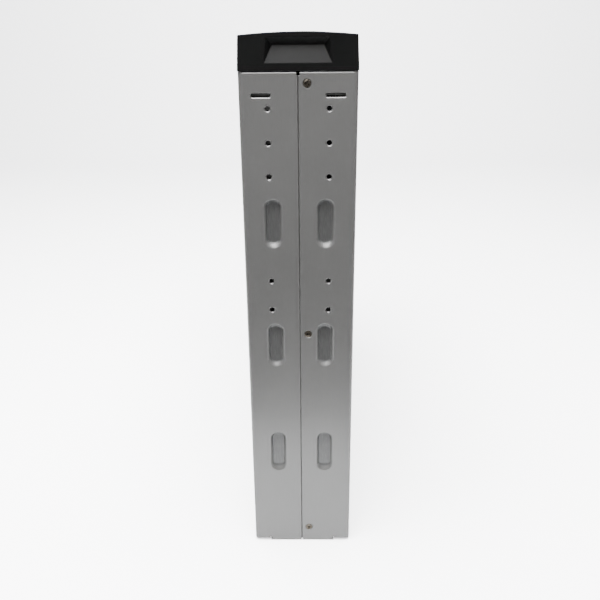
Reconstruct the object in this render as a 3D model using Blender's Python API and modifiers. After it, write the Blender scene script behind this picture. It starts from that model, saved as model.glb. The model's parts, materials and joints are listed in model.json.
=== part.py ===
"""Two-unit rack battery pack, standing on its rear end.

Metres. The origin is the middle of the rear rim. +Z runs from the rear rim to the
front bezel, +X from the base sheet to the cover sheet (up, once it lies in a rack),
and Y runs across the rack. Seen from the front, the right side wall is at -Y.
"""

import math

import bmesh
import bpy
from mathutils import Matrix, Vector

# ---- driving dimensions ------------------------------------------------------------
HEIGHT = 0.0870          # across the two rack units, along X
WIDTH = 0.4320           # body between the rack posts, along Y
LENGTH = 0.4175          # rear rim to the front edge of the steel, along Z
SHEET = 0.0012           # steel sheet
GAP = 0.0003             # left between pieces that touch
BEND = 0.0024            # outer radius of the sheet's long bends

HALF_X = HEIGHT / 2
HALF_Y = WIDTH / 2
INNER_X = HALF_X - SHEET
INNER_Y = HALF_Y - SHEET

# seam between base and cover, halfway up each side wall
COVER_EDGE = 0.0005      # x where the cover's side walls stop
BASE_EDGE = -0.0012      # x where the base's side walls step inwards
STEP_IN = SHEET + GAP    # how far the step carries the base's lap flange
LAP_END = 0.0120         # x where the lap flange stops

# stamped and drilled features of each side wall, measured from the front edge
HOLE_FROM_FRONT = (0.0258, 0.0505, 0.0757, 0.1592, 0.1841)
HOLE_X = 0.0227
HOLE_RADIUS = 0.0021
POCKET_FROM_FRONT = (0.1123, 0.2160, 0.3194)
POCKET_X = 0.0203
POCKET_RADIUS = 0.0073
POCKET_FLOOR_RADIUS = 0.0036
POCKET_STRAIGHT = 0.0254
POCKET_DEPTH = 0.0036
SLOT_FROM_FRONT = 0.0168
SLOT_X = 0.0273
SLOT_LONG = 0.0142
SLOT_SHORT = 0.0124
SLOT_HEIGHT = 0.0031
SCREW_FROM_FRONT = {"front": 0.0083, "middle": 0.2056, "rear": 0.4020}
SCREW_X = 0.0064
SCREW_HEAD_RADIUS = 0.0030
SCREW_SHANK_RADIUS = 0.0015
SCREW_LENGTH = 0.0050

FRONT_FLANGE = 0.0053    # turned in from the side walls, along Y
REAR_FLANGE = 0.0100
REAR_FLANGE_X = 0.0290   # half length of the side walls' rear flanges
CORNER_CUT = 0.0028      # how far the corners stop short of the rear rim
SEAM_NOTCH = 0.0027

# rear bay
RECESS = 0.0200          # rear rim to the rear panel
BULKHEAD_Z = 0.0800
BREAKER_Y = -0.0800
BREAKER_SIZE = (0.0440, 0.0190)
TOGGLE_Z = 0.0260
TOGGLE_TILT = math.radians(22)
JACK_Y = -0.0350
JACK_SIZE = (0.0160, 0.0340)
SOCKET_Y = {"upper": 0.0250, "lower": 0.0850}
SOCKET_SIZE = (0.0360, 0.0240)
SOCKET_POLE_X = 0.0080
EARTH_Y = 0.1250
EARTH_RADIUS = 0.0025
VENT_FIELDS = ((-0.2030, 13), (0.1450, 9))
VENT_PITCH = 0.0070

# battery drawer
DRAWER_REAR = 0.0880
DRAWER_FRONT = 0.4000
TRAY_HALF_Y = 0.2085
TRAY_FLOOR = -0.0397
TRAY_WALL_TOP = 0.0100
PLATE = 0.0015
PLATE_TOP_X = 0.0415
BLOCK_X = 0.0650
BLOCK_Y = 0.0940
BLOCK_Z = 0.1510
BLOCK_FLOOR = TRAY_FLOOR + SHEET + GAP
BLOCK_TOP = BLOCK_FLOOR + BLOCK_X
BLOCK_ROWS = (0.0920, 0.2435)
AISLE_OUTER = 0.1130     # |y| of the outer blocks' terminal faces
AISLE_INNER = 0.0940     # |y| of the inner blocks' terminal faces
AISLE_MIDDLE = (AISLE_OUTER + AISLE_INNER) / 2
TAB = 0.0065
TAB_X = 0.0168
TAB_FROM_END = 0.0180
STRAP_WIDTH = 0.0600
CONNECTOR_X = 0.0345
LEAD_RADIUS = 0.0025
RUNNER_TOP = -0.0352     # clear of the side walls' lanced slots
LOCK_X = 0.0355
LOCK_Y = 0.2000
STUD_Y = 0.1550
HANDLE_PIVOT = (-0.0060, 0.4070)   # x and z of the bail's pivots
HANDLE_REACH = 0.0270
HANDLE_HALF = 0.0570
WIRE = 0.0017

# bezel
BEZEL_HALF_X = 0.0438
BEZEL_HALF_Y = 0.2165
BEZEL_DRAFT = 0.0011     # how much narrower each side is at the front
BEZEL_REAR = LENGTH + GAP
BEZEL_EDGE = LENGTH + 0.0246
CROWN = 0.0021
BEZEL_WALL = 0.0025
GRIP_LOW = LENGTH + 0.0056
GRIP_RIDGE = LENGTH + 0.0180
GRIP_HIGH = LENGTH + 0.0232
GRIP_LOW_X = 0.0245
GRIP_RIDGE_X = 0.0188
GRIP_HIGH_X = 0.0227
GRIP_DEPTH = 0.0050
LOUVRE_ROWS = (-0.0300, -0.0200, -0.0100, 0.0, 0.0100, 0.0200, 0.0300)
LOUVRE_COLUMNS = (-0.0780, 0.0260)
LOUVRE_LENGTH = 0.0900
LOUVRE_RADIUS = 0.0017
WINDOW_Y = 0.1180
WINDOW_X = 0.0100
WINDOW_SIZE = (0.0140, 0.0480)
BUTTON_Y = 0.1180
BUTTON_X = -0.0140
BUTTON_RADIUS = 0.0065
STATUS_BOARD_Z = DRAWER_FRONT + GAP + PLATE + 0.0070
SWITCH_HEIGHT = 0.0060   # top of the test switch above the board's underside

SIDES = (("right", -1), ("left", 1))

for leftover in list(bpy.data.objects):
    bpy.data.objects.remove(leftover)

PACK = bpy.data.collections.new("rack_battery")
CUTTERS = bpy.data.collections.new("cutters")
bpy.context.scene.collection.children.link(PACK)
bpy.context.scene.collection.children.link(CUTTERS)


# ---- finishes ----------------------------------------------------------------------
def finish(name, colour, roughness, metallic=0.0):
    """A plain Principled finish."""
    made = bpy.data.materials.new(name)
    made.use_nodes = True
    shader = made.node_tree.nodes["Principled BSDF"]
    shader.inputs["Base Color"].default_value = (*colour, 1.0)
    shader.inputs["Roughness"].default_value = roughness
    shader.inputs["Metallic"].default_value = metallic
    return made


STEEL = finish("zinc_steel", (0.42, 0.42, 0.42), 0.45, 0.9)
SCREW_STEEL = finish("screw_steel", (0.36, 0.33, 0.28), 0.35, 1.0)
BLACK = finish("black_plastic", (0.014, 0.014, 0.015), 0.45)
SMOKED = finish("smoked_window", (0.02, 0.02, 0.022), 0.12)
CASE = finish("battery_case", (0.06, 0.065, 0.07), 0.5)
NYLON = finish("white_nylon", (0.72, 0.72, 0.70), 0.4)
COPPER = finish("tinned_copper", (0.62, 0.55, 0.48), 0.3, 1.0)
RED = finish("red_insulation", (0.45, 0.02, 0.02), 0.45)
DARK = finish("black_insulation", (0.02, 0.02, 0.02), 0.5)
BOARD = finish("green_board", (0.02, 0.12, 0.05), 0.4)
FUSE = finish("fuse_body", (0.65, 0.55, 0.25), 0.35)


# ---- making shapes -----------------------------------------------------------------
def mesh_object(name, shape, material=None, collection=None):
    """Turns a bmesh into an object, with round faces shaded smooth."""
    mesh = bpy.data.meshes.new(name)
    bmesh.ops.recalc_face_normals(shape, faces=shape.faces)
    shape.to_mesh(mesh)
    shape.free()
    mesh.shade_smooth()
    mesh.set_sharp_from_angle(angle=math.radians(35))
    made = bpy.data.objects.new(name, mesh)
    if material:
        mesh.materials.append(material)
    (collection or PACK).objects.link(made)
    return made


def box(low, high, bevel=0.0):
    """A bmesh box between two corners, with rounded edges if bevel is given."""
    shape = bmesh.new()
    bmesh.ops.create_cube(shape, size=1.0)
    size = Vector(high) - Vector(low)
    bmesh.ops.scale(shape, vec=size, verts=shape.verts)
    bmesh.ops.translate(shape, vec=Vector(low) + size / 2, verts=shape.verts)
    if bevel:
        bmesh.ops.bevel(shape, geom=shape.edges[:], offset=bevel, segments=1,
                        profile=0.5, affect="EDGES", material=-1)
    return shape


def rod(centre, axis, radius, length, segments=16):
    """A bmesh cylinder about a point, along X, Y or Z."""
    shape = bmesh.new()
    bmesh.ops.create_cone(shape, cap_ends=True, segments=segments, radius1=radius,
                          radius2=radius, depth=length)
    turn = Vector((0, 0, 1)).rotation_difference(Vector(axis)).to_matrix()
    bmesh.ops.transform(shape, matrix=Matrix.Translation(centre) @ turn.to_4x4(),
                        verts=shape.verts)
    return shape


def together(*shapes):
    """Several bmesh shapes held in one, still as separate bodies."""
    whole = bmesh.new()
    for shape in shapes:
        carried = bpy.data.meshes.new("carried")
        shape.to_mesh(carried)
        shape.free()
        whole.from_mesh(carried)
        bpy.data.meshes.remove(carried)
    return whole


def stadium(radius, far_radius, straight, depth):
    """A bmesh stadium along local X that tapers along local +Z, made by parting a cone."""
    shape = bmesh.new()
    turn = Matrix.Rotation(math.pi / 16, 3, "Z")
    bmesh.ops.create_cone(shape, cap_ends=True, segments=16, radius1=radius,
                          radius2=far_radius, depth=depth)
    bmesh.ops.rotate(shape, matrix=turn, verts=shape.verts)
    for vert in shape.verts:
        vert.co.x += math.copysign(straight / 2, vert.co.x)
        vert.co.z += depth / 2
    return shape


def face_inwards(shape, side, point):
    """Turns a stadium so that it runs along Z and goes into the wall on that side."""
    turn = Matrix(((0, -side, 0), (0, 0, -side), (1, 0, 0))).to_4x4()
    bmesh.ops.transform(shape, matrix=Matrix.Translation(point) @ turn, verts=shape.verts)
    return shape


def arc(centre, radius, start, end, steps=4):
    """Points along an arc, angles in degrees."""
    angles = (math.radians(start + (end - start) * i / steps) for i in range(steps + 1))
    return [(centre[0] + radius * math.cos(a), centre[1] + radius * math.sin(a))
            for a in angles]


def outline_shape(points, thickness):
    """A bmesh slab from a flat 2D curve, lying about z = 0."""
    curve = bpy.data.curves.new("outline", "CURVE")
    curve.dimensions = "2D"
    curve.fill_mode = "BOTH"
    curve.extrude = thickness / 2
    spline = curve.splines.new("POLY")
    spline.points.add(len(points) - 1)
    for place, point in zip(spline.points, points):
        place.co = (point[0], point[1], 0, 1)
    spline.use_cyclic_u = True
    carrier = bpy.data.objects.new("outline", curve)
    bpy.context.scene.collection.objects.link(carrier)
    graph = bpy.context.evaluated_depsgraph_get()
    mesh = bpy.data.meshes.new_from_object(carrier.evaluated_get(graph))
    shape = bmesh.new()
    shape.from_mesh(mesh)
    bmesh.ops.remove_doubles(shape, verts=shape.verts, dist=1e-6)
    bpy.data.objects.remove(carrier)
    bpy.data.curves.remove(curve)
    bpy.data.meshes.remove(mesh)
    return shape


def along_z(points, low, high):
    """A slab whose outline is in X and Y and which runs from low to high along Z."""
    shape = outline_shape(points, high - low)
    bmesh.ops.translate(shape, vec=(0, 0, (low + high) / 2), verts=shape.verts)
    return shape


def along_y(points, low, high):
    """A slab whose outline is in X and Z and which runs from low to high along Y."""
    shape = outline_shape(points, high - low)
    turn = Matrix.Rotation(math.pi / 2, 4, "X")
    place = Matrix.Translation((0, (low + high) / 2, 0))
    bmesh.ops.transform(shape, matrix=place @ turn, verts=shape.verts)
    return shape


def combine(target, shape, operation):
    """Joins a shape to an object, or cuts it away, by a Boolean on a hidden helper."""
    helper = mesh_object(f"{target.name}_{operation.lower()}", shape, collection=CUTTERS)
    helper.hide_render = True
    helper.display_type = "WIRE"
    step = target.modifiers.new(operation.lower(), "BOOLEAN")
    step.object = helper
    step.operation = operation
    step.solver = "EXACT"


def join(target, *shapes):
    for shape in shapes:
        combine(target, shape, "UNION")


def cut(target, *shapes):
    for shape in shapes:
        combine(target, shape, "DIFFERENCE")


def turned(name, profile, material, place=(0, 0, 0), axis=(0, 0, 1), steps=16):
    """A turned piece: an (r, z) profile that runs down its outer side, spun by a Screw."""
    mesh = bpy.data.meshes.new(name)
    mesh.from_pydata([(r, 0, z) for r, z in profile],
                     [(i, i + 1) for i in range(len(profile) - 1)], [])
    mesh.materials.append(material)
    made = bpy.data.objects.new(name, mesh)
    spin = made.modifiers.new("turn", "SCREW")
    spin.steps = steps
    spin.render_steps = steps
    spin.use_merge_vertices = True
    spin.merge_threshold = 1e-5
    spin.use_smooth_shade = True
    made.rotation_mode = "QUATERNION"
    made.rotation_quaternion = Vector((0, 0, 1)).rotation_difference(Vector(axis))
    made.location = place
    PACK.objects.link(made)
    return made


def smooth_route(points, spacing):
    """Points every so often along a Catmull-Rom curve through the route's own points."""
    ends = [Vector(points[0]) * 2 - Vector(points[1]), Vector(points[-1]) * 2 - Vector(points[-2])]
    held = [ends[0], *map(Vector, points), ends[1]]
    route = [held[1]]
    for a, b, c, d in zip(held, held[1:], held[2:], held[3:]):
        steps = max(1, round((c - b).length / spacing))
        for i in range(1, steps + 1):
            t = i / steps
            route.append(0.5 * (2 * b + (c - a) * t + (2 * a - 5 * b + 4 * c - d) * t ** 2
                                + (3 * b - a - 3 * c + d) * t ** 3))
    return route


def tube(name, route, radius, material, resolution=2):
    """A round lead or wire along a route, as a bevelled curve with closed ends."""
    curve = bpy.data.curves.new(name, "CURVE")
    curve.dimensions = "3D"
    curve.bevel_depth = radius
    curve.bevel_resolution = resolution
    curve.use_fill_caps = True
    spline = curve.splines.new("POLY")
    spline.points.add(len(route) - 1)
    for place, point in zip(spline.points, route):
        place.co = (*point, 1)
    curve.materials.append(material)
    made = bpy.data.objects.new(name, curve)
    PACK.objects.link(made)
    return made


# ---- steel case --------------------------------------------------------------------
def base_section():
    """Cross-section of the base: floor, half-height walls, and the stepped lap flanges."""
    corner = (-HALF_X + BEND, HALF_Y - BEND)
    tip = HALF_Y - STEP_IN
    outer = [(LAP_END, tip), (0.0, tip), (BASE_EDGE, HALF_Y), *arc(corner, BEND, 90, 180)]
    inner = [*arc(corner, BEND - SHEET, 180, 90), (BASE_EDGE - 0.0003, INNER_Y),
             (-0.0003, tip - SHEET), (LAP_END, tip - SHEET)]
    half = outer + [(x, -y) for x, y in reversed(outer)]
    return half + [(x, -y) for x, y in reversed(inner)] + inner


def cover_section():
    """Cross-section of the cover: roof and half-height walls."""
    corner = (HALF_X - BEND, HALF_Y - BEND)
    outer = [(COVER_EDGE, HALF_Y), *arc(corner, BEND, 90, 0)]
    inner = [*arc(corner, BEND - SHEET, 0, 90), (COVER_EDGE, INNER_Y)]
    half = outer + [(x, -y) for x, y in reversed(outer)]
    return half + [(x, -y) for x, y in reversed(inner)] + inner


def pocket_cutters(facing):
    """The six pressed pockets of one half of the case, as seen from outside."""
    found = []
    lead = 0.0004
    slope = (POCKET_RADIUS - POCKET_FLOOR_RADIUS) / POCKET_DEPTH
    for _, side in SIDES:
        for depth in POCKET_FROM_FRONT:
            shape = stadium(POCKET_RADIUS + slope * lead, POCKET_FLOOR_RADIUS,
                            POCKET_STRAIGHT, POCKET_DEPTH + lead)
            point = (facing * POCKET_X, side * (HALF_Y + lead), LENGTH - depth)
            found.append(face_inwards(shape, side, point))
    return together(*found)


def pocket_backs(facing):
    """The metal that the pressed pockets push into the case."""
    found = []
    buried = 0.0006
    for _, side in SIDES:
        for depth in POCKET_FROM_FRONT:
            shape = stadium(POCKET_RADIUS + 0.0004, POCKET_FLOOR_RADIUS + 0.0006,
                            POCKET_STRAIGHT, POCKET_DEPTH + SHEET - buried)
            point = (facing * POCKET_X, side * (HALF_Y - buried), LENGTH - depth)
            found.append(face_inwards(shape, side, point))
    return together(*found)


def side_hole_cutters(facing):
    """Tapped holes for the rack ears and the rails, in both side walls."""
    return together(*[
        rod((facing * HOLE_X, side * HALF_Y, LENGTH - depth), (0, 1, 0), HOLE_RADIUS, 0.008, 12)
        for _, side in SIDES for depth in HOLE_FROM_FRONT])


def side_slot_cutters(facing):
    """The lanced slot near the front of each side wall, wider towards the front."""
    middle = LENGTH - SLOT_FROM_FRONT
    high = middle + SLOT_HEIGHT / 2
    low = middle - SLOT_HEIGHT / 2
    x = facing * SLOT_X
    points = [(x - SLOT_SHORT / 2, low), (x + SLOT_SHORT / 2, low),
              (x + SLOT_LONG / 2, high), (x - SLOT_LONG / 2, high)]
    return together(*[along_y(points, side * HALF_Y - 0.004, side * HALF_Y + 0.004)
                      for _, side in SIDES])


def screw_profile(clearance):
    """Countersunk screw, head uppermost, or the hole that clears it."""
    head = SCREW_HEAD_RADIUS + clearance
    shank = SCREW_SHANK_RADIUS + clearance
    top = clearance
    return [(0, top), (head, top), (head, -0.0004), (shank, -0.0019),
            (shank, -SCREW_LENGTH - clearance), (0, -SCREW_LENGTH - clearance)]


def screw_hole_cutters():
    """Countersinks through the cover's walls and the base's lap flanges."""
    found = []
    for _, side in SIDES:
        for depth in SCREW_FROM_FRONT.values():
            whole = turned("screw_hole", screw_profile(GAP), STEEL,
                           (SCREW_X, side * HALF_Y, LENGTH - depth), (0, side, 0), 12)
            bpy.context.view_layer.update()
            graph = bpy.context.evaluated_depsgraph_get()
            mesh = bpy.data.meshes.new_from_object(whole.evaluated_get(graph))
            mesh.transform(whole.matrix_world)
            shape = bmesh.new()
            shape.from_mesh(mesh)
            found.append(shape)
            bpy.data.objects.remove(whole)
    return together(*found)


def end_flanges(facing, inner_edge):
    """Flanges turned in at the front and rear of both side walls, and of the broad sheet."""
    deep = 0.0006
    broad = sorted((facing * (HALF_X - deep), facing * (HALF_X - REAR_FLANGE)))
    found = [box((broad[0], -INNER_Y + 0.0020, 0), (broad[1], INNER_Y - 0.0020, SHEET))]
    for _, side in SIDES:
        wall = side * (HALF_Y - deep)
        rear = sorted((wall, side * (HALF_Y - REAR_FLANGE)))
        front = sorted((wall, side * (HALF_Y - FRONT_FLANGE)))
        across = sorted((facing * inner_edge, facing * REAR_FLANGE_X))
        found.append(box((across[0], rear[0], 0), (across[1], rear[1], SHEET)))
        across = sorted((facing * inner_edge, facing * (INNER_X - 0.0020)))
        found.append(box((across[0], front[0], LENGTH - SHEET), (across[1], front[1], LENGTH)))
    return found


def lap_end_cutters():
    """Clears the cover's end flanges by stopping the lap flanges short at both ends."""
    short = SHEET + GAP
    return [box((BASE_EDGE + 0.0004, -HALF_Y - 0.001, low), (HALF_X, HALF_Y + 0.001, high))
            for low, high in ((-0.001, short), (LENGTH - short, LENGTH + 0.001))]


def corner_cutters(facing):
    """Corners cut back at the rear, relief holes beside the flanges, and the seam notch."""
    found = []
    across = sorted((facing * REAR_FLANGE_X, facing * (HALF_X + 0.001)))
    for _, side in SIDES:
        wall = sorted((side * (HALF_Y + 0.001), side * (INNER_Y - 0.0020)))
        found.append(box((across[0], wall[0], -0.001), (across[1], wall[1], CORNER_CUT)))
        found.append(rod((facing * REAR_FLANGE_X, side * HALF_Y, CORNER_CUT), (0, 1, 0),
                         0.0010, 0.008, 12))
        notch = sorted((side * (HALF_Y + 0.001), side * (INNER_Y - 0.0035)))
        found.append(box((-0.0014, notch[0], LENGTH - SEAM_NOTCH),
                         (0.0010, notch[1], LENGTH + 0.001)))
    return found


def build_base_chassis():
    """The lower half of the case: floor, half-height walls, lap flanges and end flanges."""
    made = mesh_object("base_chassis", along_z(base_section(), 0, LENGTH), STEEL)
    cut(made, *lap_end_cutters())
    join(made, *end_flanges(-1, -BASE_EDGE), pocket_backs(-1))
    cut(made, pocket_cutters(-1), side_hole_cutters(-1), side_slot_cutters(-1),
        screw_hole_cutters(), *corner_cutters(-1))


def build_top_cover():
    """The upper half of the case: roof, half-height walls and end flanges."""
    made = mesh_object("top_cover", along_z(cover_section(), 0, LENGTH), STEEL)
    join(made, *end_flanges(1, COVER_EDGE), pocket_backs(1))
    cut(made, pocket_cutters(1), side_hole_cutters(1), side_slot_cutters(1),
        screw_hole_cutters(), *corner_cutters(1))


def build_cover_screws():
    """Six countersunk screws that hold the cover's walls to the base's lap flanges."""
    recess = together(box((-0.0004, -0.0016, -0.0012), (0.0004, 0.0016, 0.0010)),
                      box((-0.0016, -0.0004, -0.0012), (0.0016, 0.0004, 0.0010)))
    master = turned("cover_screw", screw_profile(0.0), SCREW_STEEL)
    cross = mesh_object("cross_recess", recess, collection=CUTTERS)
    cross.hide_render = True
    step = master.modifiers.new("recess", "BOOLEAN")
    step.operation = "DIFFERENCE"
    step.use_self = True
    step.object = cross
    bpy.context.view_layer.update()
    graph = bpy.context.evaluated_depsgraph_get()
    mesh = bpy.data.meshes.new_from_object(master.evaluated_get(graph))
    bpy.data.objects.remove(master)
    for side_name, side in SIDES:
        for place, depth in SCREW_FROM_FRONT.items():
            screw = bpy.data.objects.new(f"cover_screw_{side_name}_{place}", mesh)
            screw.location = (SCREW_X, side * HALF_Y, LENGTH - depth)
            screw.rotation_euler = (-side * math.pi / 2, 0, 0)
            PACK.objects.link(screw)


# ---- rear bay ----------------------------------------------------------------------
def build_rear_panel():
    """The recessed rear panel: a shallow pan with vents and the openings for its fittings."""
    half_x = INNER_X - GAP
    half_y = INNER_Y - STEP_IN - GAP
    made = mesh_object("rear_panel", box((-half_x, -half_y, RECESS),
                                         (half_x, half_y, RECESS + 0.0100)), STEEL)
    cut(made, box((SHEET - half_x, SHEET - half_y, RECESS + SHEET),
                  (half_x - SHEET, half_y - SHEET, RECESS + 0.0110)))
    low, high = RECESS - 0.001, RECESS + 0.003
    fittings = [(BREAKER_Y, BREAKER_SIZE), (JACK_Y, JACK_SIZE)]
    fittings += [(y, SOCKET_SIZE) for y in SOCKET_Y.values()]
    openings = [rod((0, EARTH_Y, RECESS), (0, 0, 1), EARTH_RADIUS + GAP, 0.006, 16)]
    for y, (size_x, size_y) in fittings:
        openings.append(box((-size_x / 2 - GAP, y - size_y / 2 - GAP, low),
                            (size_x / 2 + GAP, y + size_y / 2 + GAP, high)))
    vents = []
    for start, count in VENT_FIELDS:
        for i in range(count):
            for x in (-0.0200, 0.0200):
                slot = stadium(0.0015, 0.0015, 0.0230, 0.004)
                bmesh.ops.translate(slot, vec=(x, start + i * VENT_PITCH, RECESS - 0.001),
                                    verts=slot.verts)
                vents.append(slot)
    cut(made, together(*openings), together(*vents))


def build_bulkhead():
    """The partition between the rear bay and the drawer, open where the connectors meet."""
    half_x = INNER_X - GAP
    made = mesh_object("bulkhead", box((-half_x, -0.2105, BULKHEAD_Z),
                                       (half_x, 0.2105, BULKHEAD_Z + SHEET)), STEEL)
    join(made, box((-half_x, -0.1500, BULKHEAD_Z - 0.0120),
                   (-half_x + SHEET, 0.1500, BULKHEAD_Z + SHEET / 2)))
    cut(made, box((0.0280, -0.0320, BULKHEAD_Z - 0.001),
                  (half_x + 0.001, 0.0320, BULKHEAD_Z + 0.003)))


def build_bay_connector():
    """The fixed half of the plug-in connector, behind the bulkhead's opening."""
    rear = 0.0500
    front = BULKHEAD_Z - GAP
    made = mesh_object("bay_connector", box((0.0275, -0.0340, rear), (0.0415, 0.0340, front)), BLACK)
    join(made, box((0.0240, -0.0440, front - 0.0020), (0.0413, 0.0440, front)))
    cut(made, box((0.0290, -0.0300, 0.0620), (0.0400, 0.0300, front + 0.001)))


def build_breaker():
    """The circuit breaker that isolates the pack, and its toggle in the on position."""
    face = RECESS - GAP
    half_x, half_y = (side / 2 for side in BREAKER_SIZE)
    body = mesh_object("breaker_body", box((-half_x, BREAKER_Y - half_y, face - 0.0010),
                                           (half_x, BREAKER_Y + half_y, 0.0560), 0.0004), BLACK)
    join(body, box((-half_x - 0.0040, BREAKER_Y - half_y - 0.0035, face - 0.0022),
                   (half_x + 0.0040, BREAKER_Y + half_y + 0.0035, face), 0.0005))
    join(body, together(*[rod((x, BREAKER_Y, 0.0580), (0, 0, 1), 0.0030, 0.0060, 10)
                          for x in (-0.0140, 0.0140)]))
    cut(body, box((-0.0095, BREAKER_Y - 0.0035, face - 0.0040),
                  (0.0095, BREAKER_Y + 0.0035, 0.0330)))
    lever = along_y([(-0.0030, 0.0), (0.0030, 0.0), (0.0019, -0.0190), (-0.0019, -0.0190)],
                    -0.0024, 0.0024)
    toggle = mesh_object("breaker_toggle", lever, BLACK)
    join(toggle, rod((0, 0, 0), (0, 1, 0), 0.0038, 0.0058, 16))
    toggle.location = (0, BREAKER_Y, TOGGLE_Z)
    toggle.rotation_euler = (0, -TOGGLE_TILT, 0)
    for step in toggle.modifiers:
        step.object.parent = toggle


def build_sockets():
    """The two power sockets: one to the equipment, one to the next pack."""
    face = RECESS - GAP
    half_x, half_y = (side / 2 for side in SOCKET_SIZE)
    for name, y in SOCKET_Y.items():
        made = mesh_object(f"power_socket_{name}", box((-half_x, y - half_y, face - 0.0010),
                                                       (half_x, y + half_y, 0.0520)), BLACK)
        join(made, box((-half_x - 0.0060, y - half_y - 0.0050, face - 0.0022),
                       (half_x + 0.0060, y + half_y + 0.0050, face), 0.0005))
        cut(made, box((0.0030 - half_x, y - half_y + 0.0035, face - 0.0040),
                      (half_x - 0.0030, y + half_y - 0.0035, 0.0400)))
        for x in (-SOCKET_POLE_X, SOCKET_POLE_X):
            join(made, box((x - 0.0035, y - 0.0012, 0.0240), (x + 0.0035, y + 0.0012, 0.0410)))
            join(made, rod((x, y, 0.0555), (0, 0, 1), 0.0025, 0.0090, 10))


def build_signal_jack():
    """The twin signal jack beside the breaker."""
    half_x, half_y = (side / 2 for side in JACK_SIZE)
    made = mesh_object("signal_jack", box((-half_x, JACK_Y - half_y, RECESS - 0.0015),
                                          (half_x, JACK_Y + half_y, 0.0360)), BLACK)
    cut(made, together(*[box((-0.0045, y - 0.0061, RECESS - 0.0030), (0.0045, y + 0.0061, 0.0320))
                         for y in (JACK_Y - 0.0080, JACK_Y + 0.0080)]))


def build_earth_point():
    """The earthing stud, with its head inside the panel and a hexagon nut outside."""
    stud = mesh_object("earth_stud", rod((0, EARTH_Y, 0.0200), (0, 0, 1), EARTH_RADIUS, 0.0220),
                       SCREW_STEEL)
    join(stud, rod((0, EARTH_Y, RECESS + SHEET + 0.0023), (0, 0, 1), 0.0048, 0.0040, 6))
    nut = mesh_object("earth_nut", rod((0, EARTH_Y, RECESS - 0.0025), (0, 0, 1), 0.0048, 0.0040, 6),
                      SCREW_STEEL)
    cut(nut, rod((0, EARTH_Y, RECESS - 0.0025), (0, 0, 1), EARTH_RADIUS + GAP, 0.0080))


def build_monitor_board():
    """The monitoring board under the signal jack, on four posts from the base sheet."""
    top = -0.0083
    low = top - 0.0016
    made = mesh_object("monitor_board", box((low, -0.0640, 0.0245), (top, 0.0050, 0.0600)), BOARD)
    parts = [rod(((low - INNER_X + GAP) / 2, y, z), (1, 0, 0), 0.0025, INNER_X - GAP + low + 0.0006, 10)
             for y in (-0.0600, 0.0010) for z in (0.0340, 0.0560)]
    parts += [box((top - 0.0005, -0.0100, 0.0400), (top + 0.0100, 0.0020, 0.0550)),
              box((top - 0.0005, -0.0320, 0.0420), (top + 0.0030, -0.0180, 0.0540)),
              box((top - 0.0005, -0.0580, 0.0400), (top + 0.0060, -0.0400, 0.0520))]
    join(made, together(*parts))


def build_bay_wiring():
    """Bus bars across the sockets' poles, and the three heavy leads of the rear bay."""
    bar_low = 0.0603
    bar_high = bar_low + 0.0020
    for name, way in (("negative", 1), ("positive", -1)):
        middle = way * SOCKET_POLE_X
        mesh_object(f"bus_bar_{name}", box((middle - 0.0035, SOCKET_Y["upper"] - 0.0060, bar_low),
                                           (middle + 0.0035, SOCKET_Y["lower"] + 0.0060, bar_high),
                                           0.0003), COPPER)
    radius = 0.0030
    on_bar = bar_high + GAP + radius
    positive = [(CONNECTOR_X, -0.0150, 0.0497), (CONNECTOR_X, -0.0152, 0.0440),
                (0.0330, -0.0250, 0.0390), (0.0270, -0.0480, 0.0450),
                (0.0170, -0.0650, 0.0600), (0.0140, -0.0800, 0.0655)]
    switched = [(-0.0140, -0.0800, 0.0650), (-0.0140, -0.0660, 0.0670), (-0.0130, -0.0400, 0.0690),
                (-0.0110, -0.0100, 0.0690), (-0.0085, 0.0140, 0.0675),
                (-SOCKET_POLE_X, 0.0280, on_bar), (-SOCKET_POLE_X, 0.0400, on_bar)]
    negative = [(CONNECTOR_X, 0.0150, 0.0497), (CONNECTOR_X, 0.0155, 0.0440),
                (0.0320, 0.0260, 0.0400), (0.0270, 0.0400, 0.0440), (0.0205, 0.0480, 0.0580),
                (0.0135, 0.0550, 0.0668), (SOCKET_POLE_X, 0.0640, on_bar),
                (SOCKET_POLE_X, 0.0740, on_bar)]
    tube("bay_lead_positive", smooth_route(positive, 0.007), radius, RED)
    tube("bay_lead_switched", smooth_route(switched, 0.007), radius, RED)
    tube("bay_lead_negative", smooth_route(negative, 0.007), radius, DARK)


# ---- what the drawer runs in -------------------------------------------------------
def build_runners():
    """Slippery plastic angles in the base's corners, which the drawer slides on."""
    low, high = BULKHEAD_Z + 0.0040, LENGTH - 0.0035
    for name, side in SIDES:
        foot = sorted((side * 0.1900, side * 0.2130))
        wall = sorted((side * 0.2120, side * 0.2144))
        made = mesh_object(f"drawer_runner_{name}", box((-0.0420, foot[0], low),
                                                        (-0.0400, foot[1], high)), NYLON)
        join(made, box((-0.0408, wall[0], low + 0.0001), (RUNNER_TOP, wall[1], high - 0.0001)))


def build_lock_brackets():
    """Angles under the cover's front corners that the drawer's screws go into."""
    shelf_top = DRAWER_FRONT - GAP
    for name, side in SIDES:
        shelf = sorted((side * 0.1900, side * 0.2144))
        leg = sorted((side * 0.2132, side * 0.2144))
        made = mesh_object(f"lock_bracket_{name}", box((0.0289, shelf[0], shelf_top - PLATE),
                                                       (0.0405, shelf[1], shelf_top)), STEEL)
        join(made, box((0.0289, leg[0], shelf_top - 0.0200), (0.0405, leg[1], shelf_top - 0.0006)))
        cut(made, rod((LOCK_X, side * LOCK_Y, shelf_top), (0, 0, 1), 0.0024, 0.006, 16))


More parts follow.
